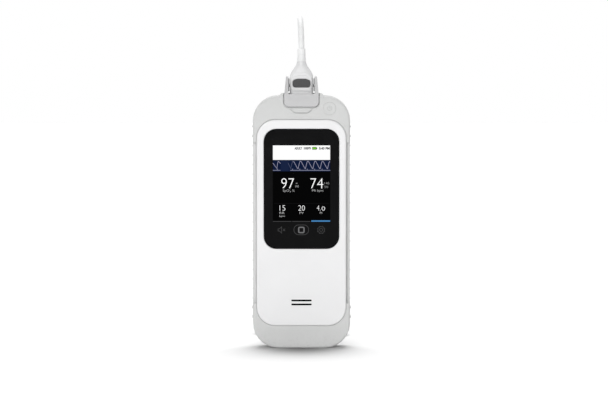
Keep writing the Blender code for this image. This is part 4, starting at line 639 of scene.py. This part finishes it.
def draw_picture():
    shapes("picture_field", [bar(272.8, 145.4, 330.2, 222.2)], "field", 1)
    shapes("picture_status", [bar(272.95, 145.7, 330.05, 160.1)], "white", 2)
    shapes("picture_wave_band", [bar(272.95, 160.1, 330.05, 171.6)], "navy", 2)
    shapes("picture_wave_gap", [bar(280.8, 160.9, 288.8, 171.1)], "navy_light", 3)
    strokes("picture_wave_early", [
        [(272.9, 163.3), (276.9, 168.7), (277.6, 163.6), (278.4, 161.4), (280.6, 163.7)],
    ], 0.46, "wave", 4)
    late = [(288.2, 163.2), (290.7, 168.9)]
    for cycle in range(5):
        at = 291.0 + 7.35 * cycle
        late += [
            (at + 0.9, 163.8), (at + 1.6, 161.6), (at + 2.2, 161.3), (at + 3.0, 162.0),
            (at + 6.4, 168.5), (at + 7.1, 168.9),
        ]
    late += [(328.7, 163.4), (329.8, 161.4)]
    strokes("picture_wave_late", [late[4:]], 0.46, "wave", 4)
    strokes("picture_wave_faint", [late[:5]], 0.45, "faint", 4)
    base = [bar(272.9, 170.2, 280.5, 170.9), bar(290.2, 170.2, 330.2, 170.9)]
    base += [
        bar(x - 0.35, 168.9, x + 0.35, 170.3)
        for x in (277.5, 292.6, 299.8, 307.2, 314.6, 322.0)
    ]
    shapes("picture_wave_base", base, "trace", 4)
    words("picture_mode", "ADULT", 294.6, 147.4, 302.0, 149.8, "grey_text", weight=0.045)
    words("picture_charge", "100%", 303.9, 147.4, 311.1, 149.8, "grey_text", weight=0.045)
    words("picture_clock", "5:43 PM", 319.0, 147.4, 329.5, 149.8, "grey_text", weight=0.045)
    shapes("battery_case", [
        round_box(312.2, 147.2, 316.6, 149.9, 0.5), bar(316.6, 147.9, 317.1, 149.2),
    ], "grey_text", 3)
    shapes("battery_charge", [round_box(312.6, 147.6, 316.2, 149.5, 0.3)], "green", 4)
    words("reading_saturation", "97", 281.3, 178.4, 294.1, 188.6, "digit", weight=-0.014)
    words("reading_pulse", "74", 310.4, 178.4, 323.2, 188.6, "digit", weight=-0.014)
    shapes("limit_dash", [bar(295.8, 183.2, 297.4, 183.7)], "small", 3)
    words("limit_low", "88", 295.3, 185.4, 298.9, 187.6, "small", weight=-0.02)
    words("limit_pulse_high", "140", 324.4, 182.3, 329.1, 184.5, "small", weight=-0.02)
    words("limit_pulse_low", "50", 324.4, 186.0, 327.9, 188.1, "small", weight=-0.02)
    words("label_saturation", "SpO\u2082 %", 283.0, 189.6, 294.5, 192.7, "small", weight=-0.008)
    words("label_pulse", "PR bpm", 312.0, 189.6, 323.3, 192.5, "small", weight=-0.008)
    shapes("picture_rule", [bar(274.2, 203.4, 329.0, 203.8)], "line", 3)
    words("reading_breath", "15", 279.6, 205.5, 285.3, 210.8, "digit", weight=-0.016)
    words("reading_variation", "20", 298.3, 205.5, 304.8, 210.8, "digit", weight=-0.016)
    words("reading_index", "4.", 316.8, 205.5, 320.4, 210.7, "digit", weight=-0.016)
    words("reading_tenths", "0", 321.6, 206.7, 325.0, 210.7, "digit", weight=-0.016)
    words("label_breath", "RR", 279.5, 212.0, 284.6, 214.1, "small")
    words("label_breath_unit", "bpm", 279.4, 215.3, 284.8, 217.6, "small")
    words("label_variation", "PV", 299.5, 212.0, 303.7, 214.0, "small")
    words("label_index", "PI", 319.8, 212.0, 322.0, 214.0, "small")
    shapes("page_segments", [
        bar(272.9, 221.3, 291.4, 221.9), bar(292.2, 221.3, 310.4, 221.9),
    ], "segment", 3)
    shapes("page_shown", [bar(311.3, 220.5, 330.05, 221.9)], "blue", 3)


def draw_keys():
    pill = round_box(293.9, 225.1, 308.6, 234.9, 4.85, 12)
    strokes("key_home_ring", [pill[:-1]], 0.55, "ring", 1, closed=True)
    square = round_box(298.7, 227.5, 304.0, 232.8, 1.1)
    strokes("key_home_mark", [square], 1.25, "home", 1, closed=True)
    gear = []
    for step in range(16):
        radius = 3.75 if step % 2 else 3.05
        for turn in (-0.28, 0.28):
            angle = math.tau * (step + turn) / 16
            gear.append((321.1 + radius * math.cos(angle), 230.1 + radius * math.sin(angle)))
    strokes("key_settings_rim", [gear], 0.5, "mark", 1, closed=True)
    strokes(
        "key_settings_hub", [arc((321.1, 230.1), 1.5, 1.5, 0, 360, 20)[:-1]], 0.5, "mark", 1,
        closed=True,
    )
    cone = [
        (278.1, 229.0), (279.4, 229.0), (281.6, 227.0), (281.6, 233.3), (279.4, 231.2),
        (278.1, 231.2),
    ]
    strokes("key_sound_cone", [cone], 0.55, "mark", 1, closed=True)
    strokes("key_sound_cross", [
        [(282.9, 228.9), (285.1, 231.3)], [(285.1, 228.9), (282.9, 231.3)],
    ], 0.5, "mark", 1)


# Power key web
WEB_UNDER = 0.02 * MM
WEB_WIDTH = 0.42 * MM
WEB_BELOW = 0.5 * MM
WEB_STEPS = 48

# Studio: a pale floor with a painted shadow near the base, a white surround for the camera and
# glossy rays, and soft lamps
FLOOR_HALF = 6.0
FLOOR_BELOW = 0.05 * MM
FLOOR_GLOW = 0.13
PAPER = (0.9, 0.9, 0.9)
SHADE_HALF_WIDTH = 31.0 * MM
SHADE_HALF_DEPTH = 56.0 * MM
SHADE_DEPTH = 0.80
SURROUND = 0.27
KEY_SIDE, KEY_RISE, KEY_SPREAD = -14, 16, 40
KEY_STRENGTH = 1.62
BACK_SIDE, BACK_RISE, BACK_SPREAD = 178, 68, 40
BACK_STRENGTH = 2.25


def add_key_web():
    """The boot's thin skin around the power key, a little below its surface."""
    low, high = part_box("power_button")
    centre = (low + high) / 2
    inner = (high.x - low.x) / 2 - WEB_UNDER
    outer = inner + WEB_WIDTH
    corners, faces = [], []
    for step in range(WEB_STEPS):
        angle = math.tau * step / WEB_STEPS
        for radius in (inner, outer):
            corners.append((
                centre.x + radius * math.cos(angle), low.y + WEB_BELOW,
                centre.z + radius * math.sin(angle),
            ))
    for step in range(WEB_STEPS):
        now, then = 2 * step, 2 * ((step + 1) % WEB_STEPS)
        faces.append((now, now + 1, then + 1, then))
    data = bpy.data.meshes.new("power_key_web")
    data.from_pydata(corners, [], faces)
    if sum(face.normal.y for face in data.polygons) > 0:
        data.flip_normals()
    web = bpy.data.objects.new("power_key_web", data)
    scene.collection.objects.link(web)
    data.materials.append(looks["boot_silicone"])
    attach(web, "body")


def seen_directly(tree):
    """One where a ray comes straight from the camera, a gloss or a clear surface."""
    path = tree.nodes.new("ShaderNodeLightPath")
    total = None
    for name in ("Is Camera Ray", "Is Glossy Ray", "Is Transmission Ray"):
        if total is None:
            total = path.outputs[name]
            continue
        add = tree.nodes.new("ShaderNodeMath")
        add.operation = "MAXIMUM"
        tree.links.new(total, add.inputs[0])
        tree.links.new(path.outputs[name], add.inputs[1])
        total = add.outputs[0]
    return total


def add_surround():
    world = bpy.data.worlds.new("surround")
    scene.world = world
    world.use_nodes = True
    tree = world.node_tree
    tree.nodes.clear()
    soft = tree.nodes.new("ShaderNodeBackground")
    soft.inputs["Color"].default_value = (1.0, 1.0, 1.0, 1)
    soft.inputs["Strength"].default_value = SURROUND
    white = tree.nodes.new("ShaderNodeBackground")
    white.inputs["Strength"].default_value = 1.0
    white.inputs["Color"].default_value = (1.0, 1.0, 1.0, 1)
    choice = tree.nodes.new("ShaderNodeMixShader")
    out = tree.nodes.new("ShaderNodeOutputWorld")
    tree.links.new(seen_directly(tree), choice.inputs[0])
    tree.links.new(soft.outputs[0], choice.inputs[1])
    tree.links.new(white.outputs[0], choice.inputs[2])
    tree.links.new(choice.outputs[0], out.inputs[0])


def painted_contact_shadow(tree):
    """The paper's colour with a painted shadow, softly darker close to the base. No lamp casts it.
    """
    coords = tree.nodes.new("ShaderNodeTexCoord")
    scaled = tree.nodes.new("ShaderNodeVectorMath")
    scaled.operation = "MULTIPLY"
    scaled.inputs[1].default_value = (1 / SHADE_HALF_WIDTH, 1 / SHADE_HALF_DEPTH, 0)
    tree.links.new(coords.outputs["Object"], scaled.inputs[0])
    squared = tree.nodes.new("ShaderNodeVectorMath")
    squared.operation = "DOT_PRODUCT"
    tree.links.new(scaled.outputs["Vector"], squared.inputs[0])
    tree.links.new(scaled.outputs["Vector"], squared.inputs[1])
    fall = tree.nodes.new("ShaderNodeMath")
    fall.operation = "POWER"
    fall.inputs[0].default_value = 1 / math.e
    tree.links.new(squared.outputs["Value"], fall.inputs[1])
    return mixed(
        tree, ranged(tree, fall.outputs[0], 0.0, SHADE_DEPTH, 0.0, 1.0), PAPER, (0.0, 0.0, 0.0)
    )


def add_floor():
    data = bpy.data.meshes.new("floor")
    half = FLOOR_HALF
    data.from_pydata(
        [(-half, -half, 0), (half, -half, 0), (half, half, 0), (-half, half, 0)], [], [(0, 1, 2, 3)]
    )
    floor = bpy.data.objects.new("floor", data)
    floor.location.z = -FLOOR_BELOW
    scene.collection.objects.link(floor)
    look = bpy.data.materials.new("floor")
    look.use_nodes = True
    tree = look.node_tree
    tree.nodes.clear()
    paper = tree.nodes.new("ShaderNodeBsdfDiffuse")
    paper.inputs["Color"].default_value = (*PAPER, 1)
    shaded = tree.nodes.new("ShaderNodeBsdfDiffuse")
    # Painted shadow near the base, in the paper's colour and in its glow, for rays that see the
    # floor directly.
    tint = painted_contact_shadow(tree)
    tree.links.new(tint, shaded.inputs["Color"])
    glow = tree.nodes.new("ShaderNodeEmission")
    glow.inputs["Strength"].default_value = FLOOR_GLOW
    both = tree.nodes.new("ShaderNodeAddShader")
    choice = tree.nodes.new("ShaderNodeMixShader")
    out = tree.nodes.new("ShaderNodeOutputMaterial")
    tree.links.new(tint, glow.inputs["Color"])
    tree.links.new(shaded.outputs[0], both.inputs[0])
    tree.links.new(glow.outputs[0], both.inputs[1])
    tree.links.new(seen_directly(tree), choice.inputs[0])
    tree.links.new(paper.outputs[0], choice.inputs[1])
    tree.links.new(both.outputs[0], choice.inputs[2])
    tree.links.new(choice.outputs[0], out.inputs[0])
    data.materials.append(look)


def add_sun(name, side, rise, spread, strength):
    """Even light from one side, with the soft edge of a large lamp."""
    data = bpy.data.lights.new(name, "SUN")
    data.energy = strength
    data.angle = math.radians(spread)
    lamp = bpy.data.objects.new(name, data)
    scene.collection.objects.link(lamp)
    turn, lift = math.radians(side), math.radians(rise)
    toward = Vector((
        math.sin(turn) * math.cos(lift), -math.cos(turn) * math.cos(lift), math.sin(lift)
    ))
    lamp.rotation_euler = toward.to_track_quat("Z", "Y").to_euler()


def add_lights():
    add_sun("key_lamp", KEY_SIDE, KEY_RISE, KEY_SPREAD, KEY_STRENGTH)
    add_sun("back_lamp", BACK_SIDE, BACK_RISE, BACK_SPREAD, BACK_STRENGTH)


add_camera()
add_lead()
draw_picture()
draw_keys()
add_key_web()
add_surround()
add_floor()
add_lights()
scene.view_settings.view_transform = "Standard"
